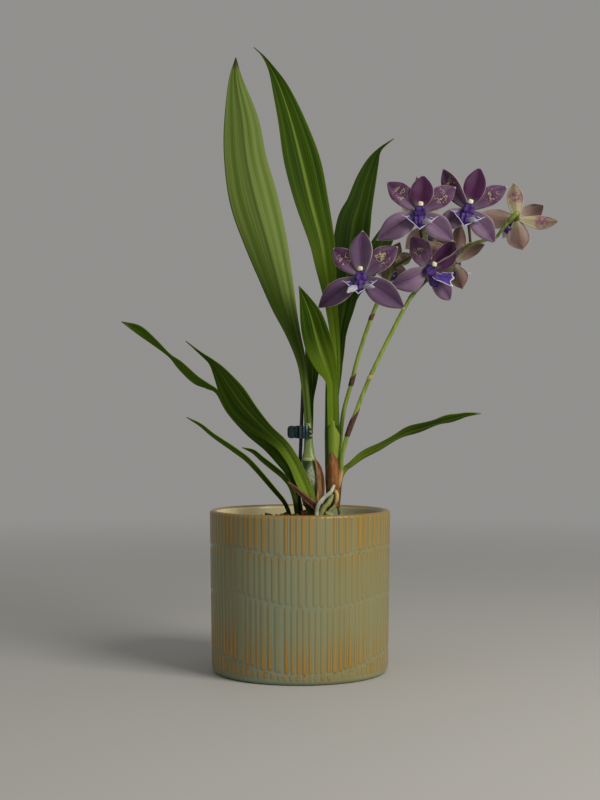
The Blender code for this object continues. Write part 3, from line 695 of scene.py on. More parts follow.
def leaf_skin(name, dark, light, vein, rib, glow, foot, tip, dusk=0.0, lit=0.0):
    """Leaf skin with its veins along the leaf, whose foot is at 0 and tip at 1 of its length.

    dark and light mottle the blade; vein, rib and tip colour those; glow is how far the rib shows, and
    foot where the pale foot ends; dusk is painted shade on the blade's lower left, and lit is painted
    light on its outer half. Every blade also gets painted shade low down, near the bark.
    """
    skin = Recipe(name)
    across = skin.axis("X", "UV")
    along = skin.axis("Y", "UV")
    from_midrib = skin.away(across, 0.5)
    mottle = skin.noise(7, 3, (1, 0.16, 1), "UV", 0.4)
    veins = skin.noise(34, 2, (1, 0.03, 1), "UV", 0.6)
    fine = skin.noise(110, 1, (1, 0.02, 1), "UV")
    colour = skin.mix(skin.ramp(mottle, 0.35, 0.7), dark, light)
    colour = skin.mix(skin.ramp(veins, 0.5, 0.68, 0, 0.32), colour, vein)
    colour = skin.mix(skin.ramp(fine, 0.5, 0.7, 0, 0.35), colour, dark)
    rib_band = skin.math("DIVIDE", from_midrib, skin.ramp(along, 0.3, 0.75, 2.6, 1))
    colour = skin.mix(skin.ramp(rib_band, 0.008, 0.045, glow, 0), colour, rib)
    colour = skin.mix(skin.ramp(from_midrib, 0.472, 0.496, 0, 0.4), colour, vein)
    colour = skin.mix(skin.ramp(along, foot * 0.25, foot, 0.8, 0), colour, vein)
    # Painted shade: the blade's lower left darkens by the dusk share.
    lower = skin.plus(along, skin.times(across, 0.25))
    shaded = skin.times(skin.ramp(lower, 0.56, 0.84, dusk, 0), skin.ramp(along, 0.34, 0.5, 0.25, 1))
    colour = skin.mix(shaded, colour, (0.034, 0.066, 0.004))
    # Painted light: the outer half of the blade lightens by the lit share.
    colour = skin.mix(skin.ramp(along, 0.4, 0.55, 0, lit), colour, (0.1, 0.19, 0.01))
    colour = skin.mix(skin.ramp(along, 0.955, 0.985, 0, 0.85), colour, tip)
    # Painted shade: every blade darkens where it runs below 122 to 128 mm, down by the bark.
    colour = skin.mix(skin.ramp(skin.axis("Z"), 0.122, 0.128, 0.85, 0), colour, (0.008, 0.022, 0.002))
    skin.set(Base_Color=colour, Roughness=0.55, Specular_IOR_Level=0.07)
    skin.bump(skin.plus(veins, skin.times(fine, 0.4)), 0.0007, 0.6)
    return skin.material


LEAF_SKINS = {
    "dark": leaf_skin("leaf_dark_skin", (0.011, 0.03, 0.0006), (0.025, 0.052, 0.001), (0.085, 0.14, 0.004),
                      (0.085, 0.14, 0.004), 0.35, 0.16, (0.16, 0.15, 0.03)),
    # dusky is the dark skin made lighter, with its outer half lit further: painted light on blades f and g,
    # which face away from the light.
    "dusky": leaf_skin("leaf_dusky_skin", (0.021, 0.052, 0.0015), (0.045, 0.088, 0.003), (0.1, 0.16, 0.01),
                       (0.1, 0.16, 0.01), 0.35, 0.1, (0.2, 0.21, 0.04), 0, 0.55),
    "bright": leaf_skin("leaf_bright_skin", (0.015, 0.04, 0.0005), (0.042, 0.085, 0.0015),
                        (0.15, 0.24, 0.012), (0.2, 0.28, 0.04), 0.75, 0.62, (0.18, 0.2, 0.03)),
    "banded": leaf_skin("leaf_banded_skin", (0.025, 0.057, 0.001), (0.052, 0.108, 0.0035), (0.23, 0.34, 0.03),
                        (0.23, 0.34, 0.03), 0.3, 0.6, (0.28, 0.31, 0.06)),
    "pale": leaf_skin("leaf_under_skin", (0.082, 0.135, 0.016), (0.2, 0.262, 0.07), (0.2, 0.26, 0.06),
                      (0.05, 0.085, 0.01), 0.75, 0.14, (0.05, 0.025, 0.022), 0.85),
}


def make_leaf(letter, skin, channel, wave, stations):
    rows = (len(stations) - 1) * LEAF_ROWS_PER_STATION
    pleats = 4

    def lift(across, along, half):
        fold = abs(across) * half * channel
        midrib = -0.32 * math.exp(-(across * half / 0.7) ** 2) * math.copysign(1, channel)
        pleat = 0.03 * half ** 0.7 * math.cos(math.pi * pleats * across) * (1 - across ** 2)
        ripple = wave * across ** 2 * math.sin(along * 23 + across * 1.4) * min(half / 8, 1)
        return fold + midrib + pleat + ripple

    leaf = lay_strip(f"leaf_blade_{letter}", stations, 28, rows, lift)
    back = "dark" if skin == "pale" else "pale"
    thicken(leaf, LEAF_THICKNESS, (LEAF_SKINS[skin], LEAF_SKINS[back]))
    place_part(leaf, "orchid", "leaf", f"leaf_{letter}")


for letter, facts in LEAVES.items():
    make_leaf(letter, *facts)

# ---------------------------------------------------------------- bulb, rhizome and new growth
# The mature bulb is a ribbed green flask with a scaly pale patch, and leaf A's neck stands on it. A
# short rhizome joins it to the new growth, a stout stem of sheaths that clasp one another.


def read_evenly(values, share):
    """The value at a share of the way through values that stand at even steps."""
    return float(np.interp(share * (len(values) - 1), range(len(values)), values))


def lay_tube(name, route, radii, sides, rows, shape=None):
    """A round skin along a route in mm; radii go evenly along it, and shape may move a point in mm."""
    deselect_all()
    bpy.ops.mesh.primitive_grid_add(x_subdivisions=sides, y_subdivisions=rows, size=2)
    tube = bpy.context.object
    tube.name = name
    run = smooth_run(route, rows)
    start = (Vector(run[1]) - Vector(run[0])).normalized()
    across = start.cross(FRONT).normalized()
    rings = []
    for row, middle in enumerate(run):
        along = (Vector(run[min(row + 1, rows)]) - Vector(run[max(row - 1, 0)])).normalized()
        across = (across - along * across.dot(along)).normalized()
        rings.append((Vector(middle), across.copy(), across.cross(along)))
    for vert in tube.data.vertices:
        turn, along = vert.co.x * math.pi, (vert.co.y + 1) / 2
        middle, right, front = rings[round(along * rows)]
        radius = read_evenly(radii, along)
        place = middle + (right * math.sin(turn) + front * math.cos(turn)) * radius
        vert.co = (shape(place, middle, turn, along) if shape else place) * MM
    close_tube(tube)
    return tube


def close_tube(tube):
    bpy.ops.object.mode_set(mode="EDIT")
    bpy.ops.mesh.select_all(action="SELECT")
    bpy.ops.mesh.remove_doubles(threshold=1e-6)
    bpy.ops.mesh.select_all(action="DESELECT")
    bpy.ops.mesh.select_mode(type="EDGE")
    bpy.ops.mesh.select_non_manifold(extend=False)
    bpy.ops.mesh.edge_face_add()
    bpy.ops.mesh.select_all(action="SELECT")
    bpy.ops.mesh.normals_make_consistent(inside=False)
    bpy.ops.object.mode_set(mode="OBJECT")
    bpy.ops.object.shade_smooth()


def bulb_skin():
    skin = Recipe("bulb_skin")
    ribs = skin.noise(260, 2, (1, 1, 0.08))
    green = skin.blend(ribs, (0.02, 0.054, 0.006), (0.045, 0.1, 0.012))
    where = skin.nodes.new("ShaderNodeVectorMath")
    where.operation = "DISTANCE"
    skin.put(where.inputs[0], skin.stretch((1, 1, 0.6)))
    where.inputs[1].default_value = (0.0088, -0.007, 0.145 * 0.6)
    crumbs = skin.noise(900, 5, (1, 1, 0.6))
    patch = skin.times(skin.ramp(where.outputs["Value"], 0.002, 0.0066, 0.9, 0),
                      skin.ramp(crumbs, 0.32, 0.6, 0.15, 1))
    neck = skin.ramp(skin.axis("Z"), 0.1558, 0.1566)
    colour = skin.mix(neck, green, skin.blend(ribs, (0.16, 0.23, 0.05), (0.25, 0.32, 0.09)))
    ring = skin.times(neck, skin.ramp(skin.axis("Z"), 0.1574, 0.159, 0.8, 0))
    colour = skin.mix(ring, colour, (0.42, 0.46, 0.2))
    colour = skin.mix(patch, colour, (0.42, 0.44, 0.33))
    skin.set(Base_Color=colour, Roughness=skin.ramp(patch, 0, 1, 0.35, 0.8))
    skin.bump(skin.plus(ribs, skin.times(patch, 0.5)), 0.0004, 0.6)
    return skin.material


def stalk_skin(name, dark, bright, stain):
    """Smooth waxy skin, streaked lengthwise, with stains here and there."""
    skin = Recipe(name)
    streak = skin.noise(420, 2, (1, 1, 0.05))
    blush = skin.noise(38, 3, (1, 1, 0.7))
    colour = skin.blend(streak, dark, bright)
    colour = skin.mix(skin.ramp(blush, 0.58, 0.72, 0, 0.75), colour, stain)
    skin.set(Base_Color=colour, Roughness=0.36)
    skin.bump(streak, 0.0003, 0.4)
    return skin.material


def growth_skin():
    """Yellow-green in front, dark at the left edge, and dark right of the outer sheath's slanted edge."""
    skin = Recipe("growth_skin")
    streak = skin.noise(380, 2, (1, 1, 0.04))
    side = skin.plus(skin.axis("X"), skin.times(streak, 0.0014))
    slant = skin.plus(skin.axis("Z"), skin.times(skin.axis("X"), 1.76))
    above = skin.ramp(slant, 0.2272, 0.228)
    left = skin.ramp(side, 0.0206, 0.023, 1, 0)
    right = skin.times(skin.ramp(side, 0.0268, 0.0282), above)
    colour = skin.mix(skin.ramp(side, 0.0225, 0.0265), (0.1, 0.18, 0.008), (0.23, 0.3, 0.03))
    colour = skin.mix(skin.ramp(streak, 0.4, 0.65, 0, 0.35), colour, (0.11, 0.2, 0.015))
    colour = skin.mix(skin.math("MAXIMUM", left, right), colour, (0.02, 0.055, 0.003))
    skin.set(Base_Color=colour, Roughness=0.42, Specular_IOR_Level=0.25)
    skin.bump(streak, 0.0004, 0.5)
    return skin.material


def make_bulb():
    ribs = 11

    def ribbed(place, middle, turn, along):
        depth = 0.22 * math.sin(math.pi * min(along * 1.3, 1))
        return middle + (place - middle) * (1 - depth / 7 * (1 + math.cos(ribs * turn)))

    bulb = lay_tube("mature_bulb", [(9.3, 0.4, 119), (8.6, 0, 130), (7.6, 0, 144), (6.6, 0, 156.6)],
                    [3.6, 6.6, 7.5, 7.7, 7.5, 7.1, 6.3, 5.4, 5.1], 48, 40, ribbed)
    bulb.data.materials.append(BULB_SKIN)
    place_part(bulb, "orchid", "bulb", "pseudobulb_mature")


def make_leaf_neck():
    def flatten(place, middle, turn, along):
        place.y = middle.y + (place.y - middle.y) * 0.7
        return place

    neck = lay_tube("leaf_a_neck", [(6.6, -0.4, 156.2), (6.5, -0.4, 163), (6.3, -0.3, 171), (6.1, -0.2, 184)],
                    [5.5, 4.9, 4, 3.3, 2.9, 2.7, 2.5, 2], 36, 24, flatten)
    neck.data.materials.append(BULB_SKIN)
    place_part(neck, "orchid", "bulb")


def make_growth():
    rhizome = lay_tube("rhizome", [(1, 1, 115.4), (9, 0.5, 116.6), (17, 0, 119), (24, 0, 128)],
                       [3, 3.6, 3.4, 3.9, 3.5, 3.6], 28, 30)
    rhizome.data.materials.append(DRY_SKIN)
    place_part(rhizome, "orchid", "stalk", "rhizome")
    stem = lay_tube("new_growth_stem", [(24.6, 0, 128), (24.2, 0, 150), (24, 0, 182), (23.8, -0.4, 222)],
                    [3.6, 4.6, 5, 4.9, 4.7, 4.4, 3.4], 36, 40)
    stem.data.materials.append(GROWTH_SKIN)
    place_part(stem, "orchid", "stalk", "new_growth_sheath")


def wrap_sheath(name, route, radii, turned, open_half, slant, skin, slot_name):
    """A sheath that clasps a stem: an open tube whose top runs up to a point at its back."""
    deselect_all()
    steps = 60
    bpy.ops.mesh.primitive_grid_add(x_subdivisions=32, y_subdivisions=30, size=2)
    sheath = bpy.context.object
    sheath.name = name
    run = smooth_run(route, steps)
    for vert in sheath.data.vertices:
        side, along = vert.co.x, (vert.co.y + 1) / 2
        reach = along * (1 - slant * abs(side) ** 1.3)
        place = reach * steps
        index = min(int(place), steps - 1)
        middle = Vector(run[index]).lerp(Vector(run[index + 1]), place - index)
        turn = math.radians(turned) + side * (math.pi - math.radians(open_half))
        radius = read_evenly(radii, reach)
        crinkle = 0.12 * math.sin(side * 17 + along * 5)
        vert.co = (middle + Vector((math.sin(turn), -math.cos(turn), 0)) * (radius + crinkle)) * MM
    bpy.ops.object.shade_smooth()
    thicken(sheath, 0.35 * MM, (skin, skin))
    place_part(sheath, "orchid", slot_name)


def dry_skin(name, left, middle, right):
    """Papery skin whose colour changes across it, streaked lengthwise, with pink and dark stains."""
    skin = Recipe(name)
    across = skin.axis("X", "UV")
    streak = skin.noise(520, 3, (1, 1, 0.12))
    cloud = skin.noise(150, 3)
    colour = skin.mix(skin.ramp(across, 0.12, 0.42), left, middle)
    colour = skin.mix(skin.ramp(across, 0.62, 0.88), colour, right)
    colour = skin.mix(skin.ramp(streak, 0.35, 0.62, 0.55, 0), colour, (0.05, 0.018, 0.008))
    colour = skin.mix(skin.ramp(cloud, 0.58, 0.72, 0, 0.5), colour, (0.4, 0.22, 0.13))
    skin.set(Base_Color=colour, Roughness=0.55, Specular_IOR_Level=0.25)
    skin.bump(streak, 0.0005, 0.7)
    return skin.material


BULB_SKIN = bulb_skin()
GROWTH_SKIN = growth_skin()
DRY_SKIN = dry_skin("dry_paper_tan", (0.19, 0.1, 0.032), (0.36, 0.14, 0.035), (0.19, 0.07, 0.02))
DARK_DRY_SKIN = dry_skin("dry_paper_dark", (0.3, 0.13, 0.055), (0.045, 0.018, 0.016), (0.26, 0.11, 0.045))
SIDE_DRY_SKIN = dry_skin("dry_paper_side", (0.4, 0.27, 0.17), (0.72, 0.42, 0.18), (0.19, 0.065, 0.02))
STAIN_SKIN = dry_skin("dry_paper_stain", (0.085, 0.038, 0.026), (0.14, 0.064, 0.036), (0.085, 0.038, 0.026))
make_bulb()
make_leaf_neck()
make_growth()
wrap_sheath("growth_sheath_low", [(24.6, 0, 128), (24.3, 0, 150), (24.1, 0, 176), (24, 0, 187)],
            [4.4, 5.3, 5.6, 5.2], -25, 12, 0.34, GROWTH_SKIN, "stalk")
wrap_sheath("growth_sheath_high", [(24.2, 0, 150), (24, 0, 175), (23.8, 0, 205), (23.8, -0.4, 222)],
            [4.9, 5.3, 4.9, 4.2], 205, 30, 0.12, GROWTH_SKIN, "stalk")

# ---------------------------------------------------------------- dry sheaths and bracts
# Old papery sheaths, brown and crinkled: one hugs the mature bulb's right side, one lies across the
# plant's foot to the left, and one points up the front of the new growth.

DRY_STRIPS = {
    "dry_sheath_mature": (SIDE_DRY_SKIN, -0.55, 0.4, [
        (11, -9.4, 119, 5, -30), (12, -9.4, 124, 7, -38), (13, -8.8, 132, 9, -45),
        (13.2, -8.2, 141, 9.2, -48), (12.4, -7, 150, 7, -50), (10.8, -5.2, 158.5, 0.6, -50)]),
    "dry_bract_left": (DARK_DRY_SKIN, -0.25, 0.3, [
        (13.6, -12.6, 119.5, 4.4, 0), (11.6, -13.6, 122.6, 5.2, 0), (7, -14.6, 126.6, 5.2, 0),
        (1, -15.4, 132, 4, 0), (-4.5, -15.6, 137, 2.4, 0), (-9, -16, 141, 0.4, 0)]),
    "dry_bract_new": (DRY_SKIN, -0.6, 0.3, [
        (24.8, -5.8, 121, 9.4, 0), (25, -6.8, 132, 11, 0), (25, -7.6, 142, 12.2, 0),
        (24.8, -7.6, 149, 11.6, 0), (24.2, -7.2, 156, 7.6, 0), (23.4, -6.6, 162.5, 0.6, 0)]),
}


def make_dry_strips():
    for name, (skin, channel, crinkle, stations) in DRY_STRIPS.items():
        def lift(across, along, half, channel=channel, crinkle=crinkle):
            wrap = abs(across) ** 1.6 * half * channel
            return wrap + crinkle * 0.5 * math.sin(across * 9 + along * 6) * math.sin(along * 21) * 0.6

        strip = lay_strip(name + "_paper", stations, 18, 44, lift)
        thicken(strip, 0.4 * MM, (skin,))
        place_part(strip, "orchid", "dry_sheath", name)
    wrap_sheath("growth_husk", [(25, 0.4, 122), (24.8, 0.4, 136), (24.6, 0.3, 150), (24.4, 0.2, 158)],
                [4.2, 5, 5.2, 5.1], 170, 30, 0.5, DRY_SKIN, "dry_sheath")
    wrap_sheath("bulb_husk", [(9.4, 0.4, 117), (9, 0.2, 124), (8.3, 0, 134), (7.8, 0, 142)],
                [4.6, 7, 8.1, 8.2], 120, 60, 0.6, SIDE_DRY_SKIN, "dry_sheath")


make_dry_strips()

# ---------------------------------------------------------------- roots
# Fleshy roots with a pale spongy skin leave the new growth's foot: a white one and a green one that
# bend into the bark, a yellow stub, and thinner ones round them. Dry hairs stick up from the bark.


def root_skin(name, pale, deep, stain):
    skin = Recipe(name)
    cloud = skin.noise(170, 4)
    colour = skin.blend(cloud, deep, pale)
    colour = skin.mix(skin.ramp(skin.noise(420, 3), 0.6, 0.72, 0, 0.7), colour, stain)
    skin.set(Base_Color=colour, Roughness=0.65)
    skin.bump(skin.noise(700, 3), 0.0003, 0.6)
    return skin.material


ROOT_PALE = root_skin("root_pale_skin", (0.5, 0.53, 0.42), (0.33, 0.37, 0.26), (0.25, 0.17, 0.1))
ROOT_GREEN = root_skin("root_green_skin", (0.3, 0.33, 0.11), (0.2, 0.23, 0.07), (0.2, 0.12, 0.05))
ROOT_YELLOW = root_skin("root_yellow_skin", (0.55, 0.43, 0.14), (0.4, 0.3, 0.1), (0.3, 0.2, 0.1))
# Each root's skin, the node it stands for, its radii and its route in mm.
ROOTS = {
    "root_white_skin": (ROOT_PALE, "root_white", [1, 1.4, 1.5, 1.5, 1.5, 1.5, 1.4], [
        (25.2, -10.4, 138), (22.6, -13.6, 133), (18.4, -15.6, 129.6), (14.8, -17.2, 126), (12.6, -18, 121),
        (12.2, -18, 112)]),
    "root_green_skin": (ROOT_GREEN, "root_green", [1.3, 2, 2, 1.9, 1.8], [
        (24.4, -8.6, 131), (21, -11, 125), (17, -13.2, 120.6), (13.6, -14.6, 112)]),
    "root_stub": (ROOT_YELLOW, None, [1.1, 1.6, 1.7, 1.5, 1.2, 0.8], [
        (26.2, -8.4, 134), (27.2, -9.4, 130.6), (27, -9.8, 127), (26, -10, 124)]),
    "root_side": (ROOT_GREEN, None, [1, 1.3, 1.4, 1.4], [
        (26.6, -8.4, 126), (25, -10, 122), (21.4, -11.6, 118.4), (18.8, -12.4, 111)]),
    "root_back": (ROOT_GREEN, None, [1.3, 1.6, 1.5, 1.4], [(26, 2, 128), (29, 7, 121), (31, 11, 110)]),
    "root_mossy": (ROOT_GREEN, None, [1.4, 2.2, 2.3, 2], [
        (19, -12, 118), (20.5, -13, 116.6), (23, -13.4, 115), (26, -13, 110)]),
}
HAIRS = [
    [(-14.5, -16, 116.4), (-12.6, -15, 114.5), (-9.6, -14, 112)],
    [(-14, -16, 118), (-13.2, -15.6, 115.6), (-11.4, -15, 113.6)],
    [(4.6, -18, 116.6), (5.4, -16, 114), (6, -13, 111)],
    [(31, -14, 113.4), (35, -12, 114.6), (39, -10, 112)],
]


def make_roots():
    def knobbly(place, middle, turn, along):
        return place + (place - middle) * 0.1 * noise.noise(place * 0.5)

    for name, (skin, node, radii, route) in ROOTS.items():
        root = lay_tube(name, route, radii, 20, 40, knobbly)
        root.data.materials.append(skin)
        place_part(root, "orchid", "root", *([node] if node else []))
    for index, route in enumerate(HAIRS):
        hair = lay_tube(f"root_hair_{index + 1}", route, [0.12, 0.3, 0.35, 0.4], 8, 12)
        hair.data.materials.append(DRY_SKIN)
        place_part(hair, "orchid", "root")


make_roots()

# ---------------------------------------------------------------- flower spikes
# Two round yellow-green stalks rise from the new growth and arch to the right. Brown papery bracts
# clasp them at their joints, and each turns olive towards its flowers.

LOW_SPIKE = [
    (29, 3.4, 138), (30.3, 4.6, 148), (30.4, 4.6, 164), (30.9, 4.4, 179), (32.6, 4, 192), (34.8, 4, 201),
    (38.6, 4, 214), (42.3, 4, 229), (47.5, 4, 246), (52.7, 4, 261), (58, 4, 274),
    (64.6, 4, 288), (70, 4, 300), (80.4, 5, 307), (88, 6, 312), (94, 7, 319),
]
HIGH_SPIKE = [
    (28, -3.6, 136), (30.4, -4.6, 147), (31, -4.6, 158), (33.8, -4.6, 170), (37, -4.4, 180), (42, -4, 193),
    (45.7, -4, 203), (52.4, -4, 219), (59.8, -4, 234.5), (68.8, -3, 252.4), (77.8, -2, 269.6),
    (84, 0.5, 279.5), (93, 6, 289.5), (101, 9.5, 297), (110.4, 10, 304.5), (119.5, 8, 312),
    (128.5, 6, 318), (138, 5, 321), (147.6, 5.4, 323.6),
]
# Each bract: its spike, where it starts and ends along it, its radius in mm and the way its back turns.
SPIKE_BRACTS = [
    ("low", 0.39, 0.435, 1.75, 120, "stain"), ("low", 0.6, 0.625, 1.55, 60, "stain"),
    ("low", 0.775, 0.81, 1.6, 200, "green"), ("low", 0.9, 0.93, 1.6, 160, "green"),
    ("high", 0.19, 0.29, 1.9, 110, "stain"), ("high", 0.38, 0.392, 1.75, 60, "pale"),
    ("high", 0.6, 0.645, 1.7, 200, "green"), ("high", 0.79, 0.82, 1.6, 170, "green"),
    ("high", 0.885, 0.92, 1.55, 150, "green"), ("high", 0.965, 1, 1.5, 90, "green"),
    ("high", 0, 0.07, 1.9, 330, "dry"),
]


def spike_skin():
    """Bright at the foot, olive towards the flowers."""
    skin = Recipe("spike_skin")
    streak = skin.noise(480, 2, (1, 1, 0.06))
    high = skin.ramp(skin.axis("Z"), 0.255, 0.3)
    bright = skin.blend(streak, (0.16, 0.24, 0.02), (0.27, 0.35, 0.05))
    olive = skin.blend(streak, (0.07, 0.09, 0.012), (0.13, 0.15, 0.02))
    skin.set(Base_Color=skin.mix(high, bright, olive), Roughness=0.38)
    skin.bump(streak, 0.0003, 0.4)
    return skin.material


def route_between(route, start, end):
    run = smooth_run(route, 200)
    return [tuple(run[round(200 * (start + (end - start) * step / 4))]) for step in range(5)]


def make_spikes():
    skins = {"dry": SIDE_DRY_SKIN, "stain": STAIN_SKIN, "pale": ROOT_YELLOW, "green": SPIKE_SKIN}
    routes = {"low": LOW_SPIKE, "high": HIGH_SPIKE}

    def ridged(place, middle, turn, along):
        return place + (place - middle) * 0.05 * math.cos(turn * 7)

    for kind, route in routes.items():
        radii = [1.7, 1.65, 1.55, 1.5, 1.45, 1.35, 1.2]
        spike = lay_tube(f"spike_{kind}_stalk", route, radii, 24, 150, ridged)
        spike.data.materials.append(SPIKE_SKIN)
        place_part(spike, "orchid", "stalk", f"spike_{kind}")
    for index, (kind, start, end, radius, turned, skin) in enumerate(SPIKE_BRACTS):
        wrap_sheath(f"spike_bract_{index + 1}", route_between(routes[kind], start, end),
                    [radius, radius * 1.08, radius * 1.02, radius * 0.95], turned, 8, 0.45,
                    skins[skin], "dry_sheath" if skin in ("dry", "stain") else "stalk")


SPIKE_SKIN = spike_skin()
make_spikes()

# ---------------------------------------------------------------- flowers
# Each flower has three broad plum sepals and two blotched petals with thin cream rims, a violet lip
# with white edges spread under a violet column, and a cream anther cap. A green pedicel carries it.

# Each flower: its middle, facing, top and pedicel's start, then its tepals as (kind, right, up, width,
# lean, roll): the tip from the middle and the width in mm, the tip's lean forwards, and a roll in degrees.
FLOWERS = {
    1: ((45.5, -18, 291), (-0.2, -0.95, 0.1), (0.02, 0, 1), (62.6, 2.5, 285), [
        ("dusk", 0.4, 35, 17, 1, 0), ("petal", -21.3, 22.1, 15, 3, 0), ("petal", 25.3, 22.1, 17, 3, 0),
        ("dusk", -32.6, -21.5, 18, 0, 8), ("dusk", 30.4, -23.3, 19, 0, -8)]),
    2: ((87.2, -21, 338), (0, -1, 0.05), (0.06, 0, 1), (91.5, 3.5, 318.4), [
        ("dorsal", 3.1, 27.4, 17, 2, 0), ("petal", -23.3, 22.3, 15.6, 3, 0),
        ("petal", 26.5, 18.6, 15.4, 3, 0), ("sepal", -31.3, -20.1, 19, 1, 8),
        ("sepal", 25, -20.8, 18, 1, -8)]),
    3: ((124, -13, 341), (-0.05, -1, 0.05), (0.27, 0, 1), (127.5, 3.2, 319.4), [
        ("dorsal", 8.6, 31.7, 16.4, 1, 0), ("petal", -19.7, 29.8, 15, 3, -35), ("petal", 28.2, 17, 14, 3, 0),
        ("sepal", -24, -13.3, 15, -5, 0), ("sepal", 19.3, -24.3, 17, 2, -8)]),
    4: ((163, 9, 338.5), (0.15, 0.95, -0.2), (0.7, 0, 0.7), (148, 5.5, 324), [
        ("petal", -0.8, 26.6, 12.6, 0, 0), ("sepal", 20.5, 8.4, 16, 0, 0), ("petal", 30.8, -4.3, 10.8, 0, 0),
        ("sepal", 4.2, -25.5, 17.4, 0, 0), ("sepal", -28.6, 2.9, 16, 0, 0)]),
    5: ((94.5, -1, 299), (0.4, -0.88, -0.2), (0.25, -0.05, 0.97), (90, 4.6, 289.4), [
        ("petal", -11.3, 22.2, 18, 2, 0), ("dorsal", 22.4, 20.6, 19, -2, 6), ("petal", 29.7, 17, 13, 5, 45),
        ("sepal", -27.4, -13.6, 18, 1, 0), ("sepal", 20, -22.5, 15, 0, 0)]),
    6: ((117, 22, 306), (0.35, 0.93, 0.05), (0.26, 0, 0.95), (112.4, 12.9, 304.6), [
        ("sepal", 4.6, 31, 12, 0, 0), ("sepal", 22.8, 14, 12, 2, 30), ("petal", -20, 16, 13, 2, 0),
        ("sepal", 7.6, -19.8, 15, 2, 0), ("sepal", -24, -12, 15, 0, 0)]),
    7: ((72, 16, 304), (-0.3, 0.93, 0.1), (-0.1, 0, 1), (75, 7.4, 306.5), [
        ("sepal", 3, 17, 11, 0, 0), ("petal", -13, 13, 10, 1, 0), ("petal", 13, 8, 10, 1, 0),
        ("sepal", -11, -10, 11, 0, 0), ("sepal", 10, -9, 11, 0, 0)]),
    8: ((99, 38, 337), (0.1, 0.98, 0.1), (-0.3, 0, 1), (95.4, 9.4, 321), [
        ("sepal", -8.8, 37.4, 14, 0, 0), ("petal", 6.4, 27.5, 12, 1, 0), ("petal", -20, 18, 13, 1, 0),
        ("sepal", 23.7, -16.3, 15, 0, 0), ("sepal", -17, -18, 15, 0, 0)]),
}
# Flower 5 is seen from its side, so its lip reaches well out to the right.
LIP_FACING = {5: ((0.88, -0.52, -0.26), (0.1, -0.42, 0.9), 1.6, 0.6)}
TEPAL_COLUMNS, TEPAL_ROWS = 16, 26
TEPAL_THICKNESS = 0.5 * MM


def tepal_skin(name, deep, pale, rim, base, blotches=0.0, blotch=(0.42, 0.43, 0.22),
               stain=(0.09, 0.012, 0.07)):
    """Velvety skin along a tepal: deep down its midline, paler to its foot, with a thin pale rim."""
    skin = Recipe(name)
    across, along = skin.axis("X", "UV"), skin.axis("Y", "UV")
    middle = skin.away(across, 0.5)
    veins = skin.noise(26, 2, (1, 0.06, 1), "UV")
    cloud = skin.noise(120, 3)
    shade = skin.plus(skin.ramp(along, 0.15, 0.85, 0.15, 0.75), skin.ramp(middle, 0, 0.3, 0.3, -0.1))
    shade = skin.plus(shade, skin.ramp(veins, 0.35, 0.65, -0.22, 0.22), True)
    colour = skin.mix(shade, pale, deep)
    colour = skin.mix(skin.ramp(cloud, 0.45, 0.75, 0, 0.35), colour, pale)
    colour = skin.mix(skin.ramp(along, 0.02, 0.3, 0.85, 0), colour, base)
    if blotches:
        zone = skin.times(skin.ramp(along, 0.36, 0.5), skin.ramp(along, 0.66, 0.8, 1, 0))
        inner = skin.times(zone, skin.ramp(middle, 0.2, 0.36, 1, 0))
        marks = skin.noise(290, 2.5, (1, 1, 1))
        colour = skin.mix(skin.times(zone, skin.ramp(marks, 0.4, 0.5, 0, 0.6)), colour, stain)
        scribble = skin.ramp(skin.away(marks, 0.575), 0.018, 0.04, blotches, 0)
        colour = skin.mix(skin.times(inner, scribble), colour, blotch)
        dots = skin.noise(900, 1)
        colour = skin.mix(skin.times(zone, skin.ramp(dots, 0.68, 0.72, 0, 0.6)), colour, blotch)
    colour = skin.mix(skin.ramp(middle, 0.004, 0.03, 0.65, 0), colour, stain)
    colour = skin.mix(skin.ramp(middle, 0.468, 0.49, 0, 0.85), colour, rim)
    colour = skin.mix(skin.ramp(along, 0.955, 0.985), colour, rim)
    skin.set(Base_Color=colour, Roughness=0.55, Specular_IOR_Level=0.15, Sheen_Weight=0.06)
    skin.bump(veins, 0.0003, 0.6)
    return skin.material


SEPAL_FACE = tepal_skin("sepal_face", (0.1, 0.05, 0.108), (0.225, 0.145, 0.23), (0.5, 0.5, 0.38),
                        (0.25, 0.22, 0.25))
PETAL_FACE = tepal_skin("petal_face", (0.075, 0.024, 0.075), (0.18, 0.1, 0.175), (0.5, 0.46, 0.4),
                        (0.24, 0.2, 0.25), 1.0)
SEPAL_BACK = tepal_skin("sepal_back", (0.17, 0.095, 0.085), (0.3, 0.21, 0.18), (0.42, 0.36, 0.3),
                        (0.38, 0.36, 0.22), stain=(0.2, 0.15, 0.06))
PETAL_BACK = tepal_skin("petal_back", (0.3, 0.22, 0.16), (0.42, 0.38, 0.2), (0.45, 0.38, 0.35),
                        (0.4, 0.38, 0.24), 1.0, (0.2, 0.05, 0.14), (0.24, 0.09, 0.16))
DORSAL_FACE = tepal_skin("dorsal_face", (0.04, 0.006, 0.036), (0.088, 0.022, 0.08), (0.4, 0.36, 0.32),
                         (0.22, 0.17, 0.2))
DUSK_FACE = tepal_skin("dusk_face", (0.062, 0.028, 0.073), (0.15, 0.086, 0.16), (0.5, 0.5, 0.38),
                       (0.22, 0.19, 0.23))
TEPAL_SKINS = {"sepal": (SEPAL_FACE, SEPAL_BACK), "petal": (PETAL_FACE, PETAL_BACK),
               "dorsal": (DORSAL_FACE, SEPAL_BACK), "dusk": (DUSK_FACE, SEPAL_BACK)}


def flower_axes(facing, top):
    """The flower's right, up and front directions."""
    front = Vector(facing).normalized()
    right = Vector(top).cross(front).normalized()
    return right, front.cross(right), front


def tepal_outline(along, kind):
    """The share of a tepal's width at a place along it: a narrow foot, a broad middle, a sharp tip."""
    peak = 0.58 if kind == "petal" else 0.5
    foot = 0.3
    if along < peak:
        return foot + (1 - foot) * math.sin(math.pi / 2 * along / peak) ** 1.15
    return max(math.cos(math.pi / 2 * (along - peak) / (1 - peak)) ** 0.95, 0.012)


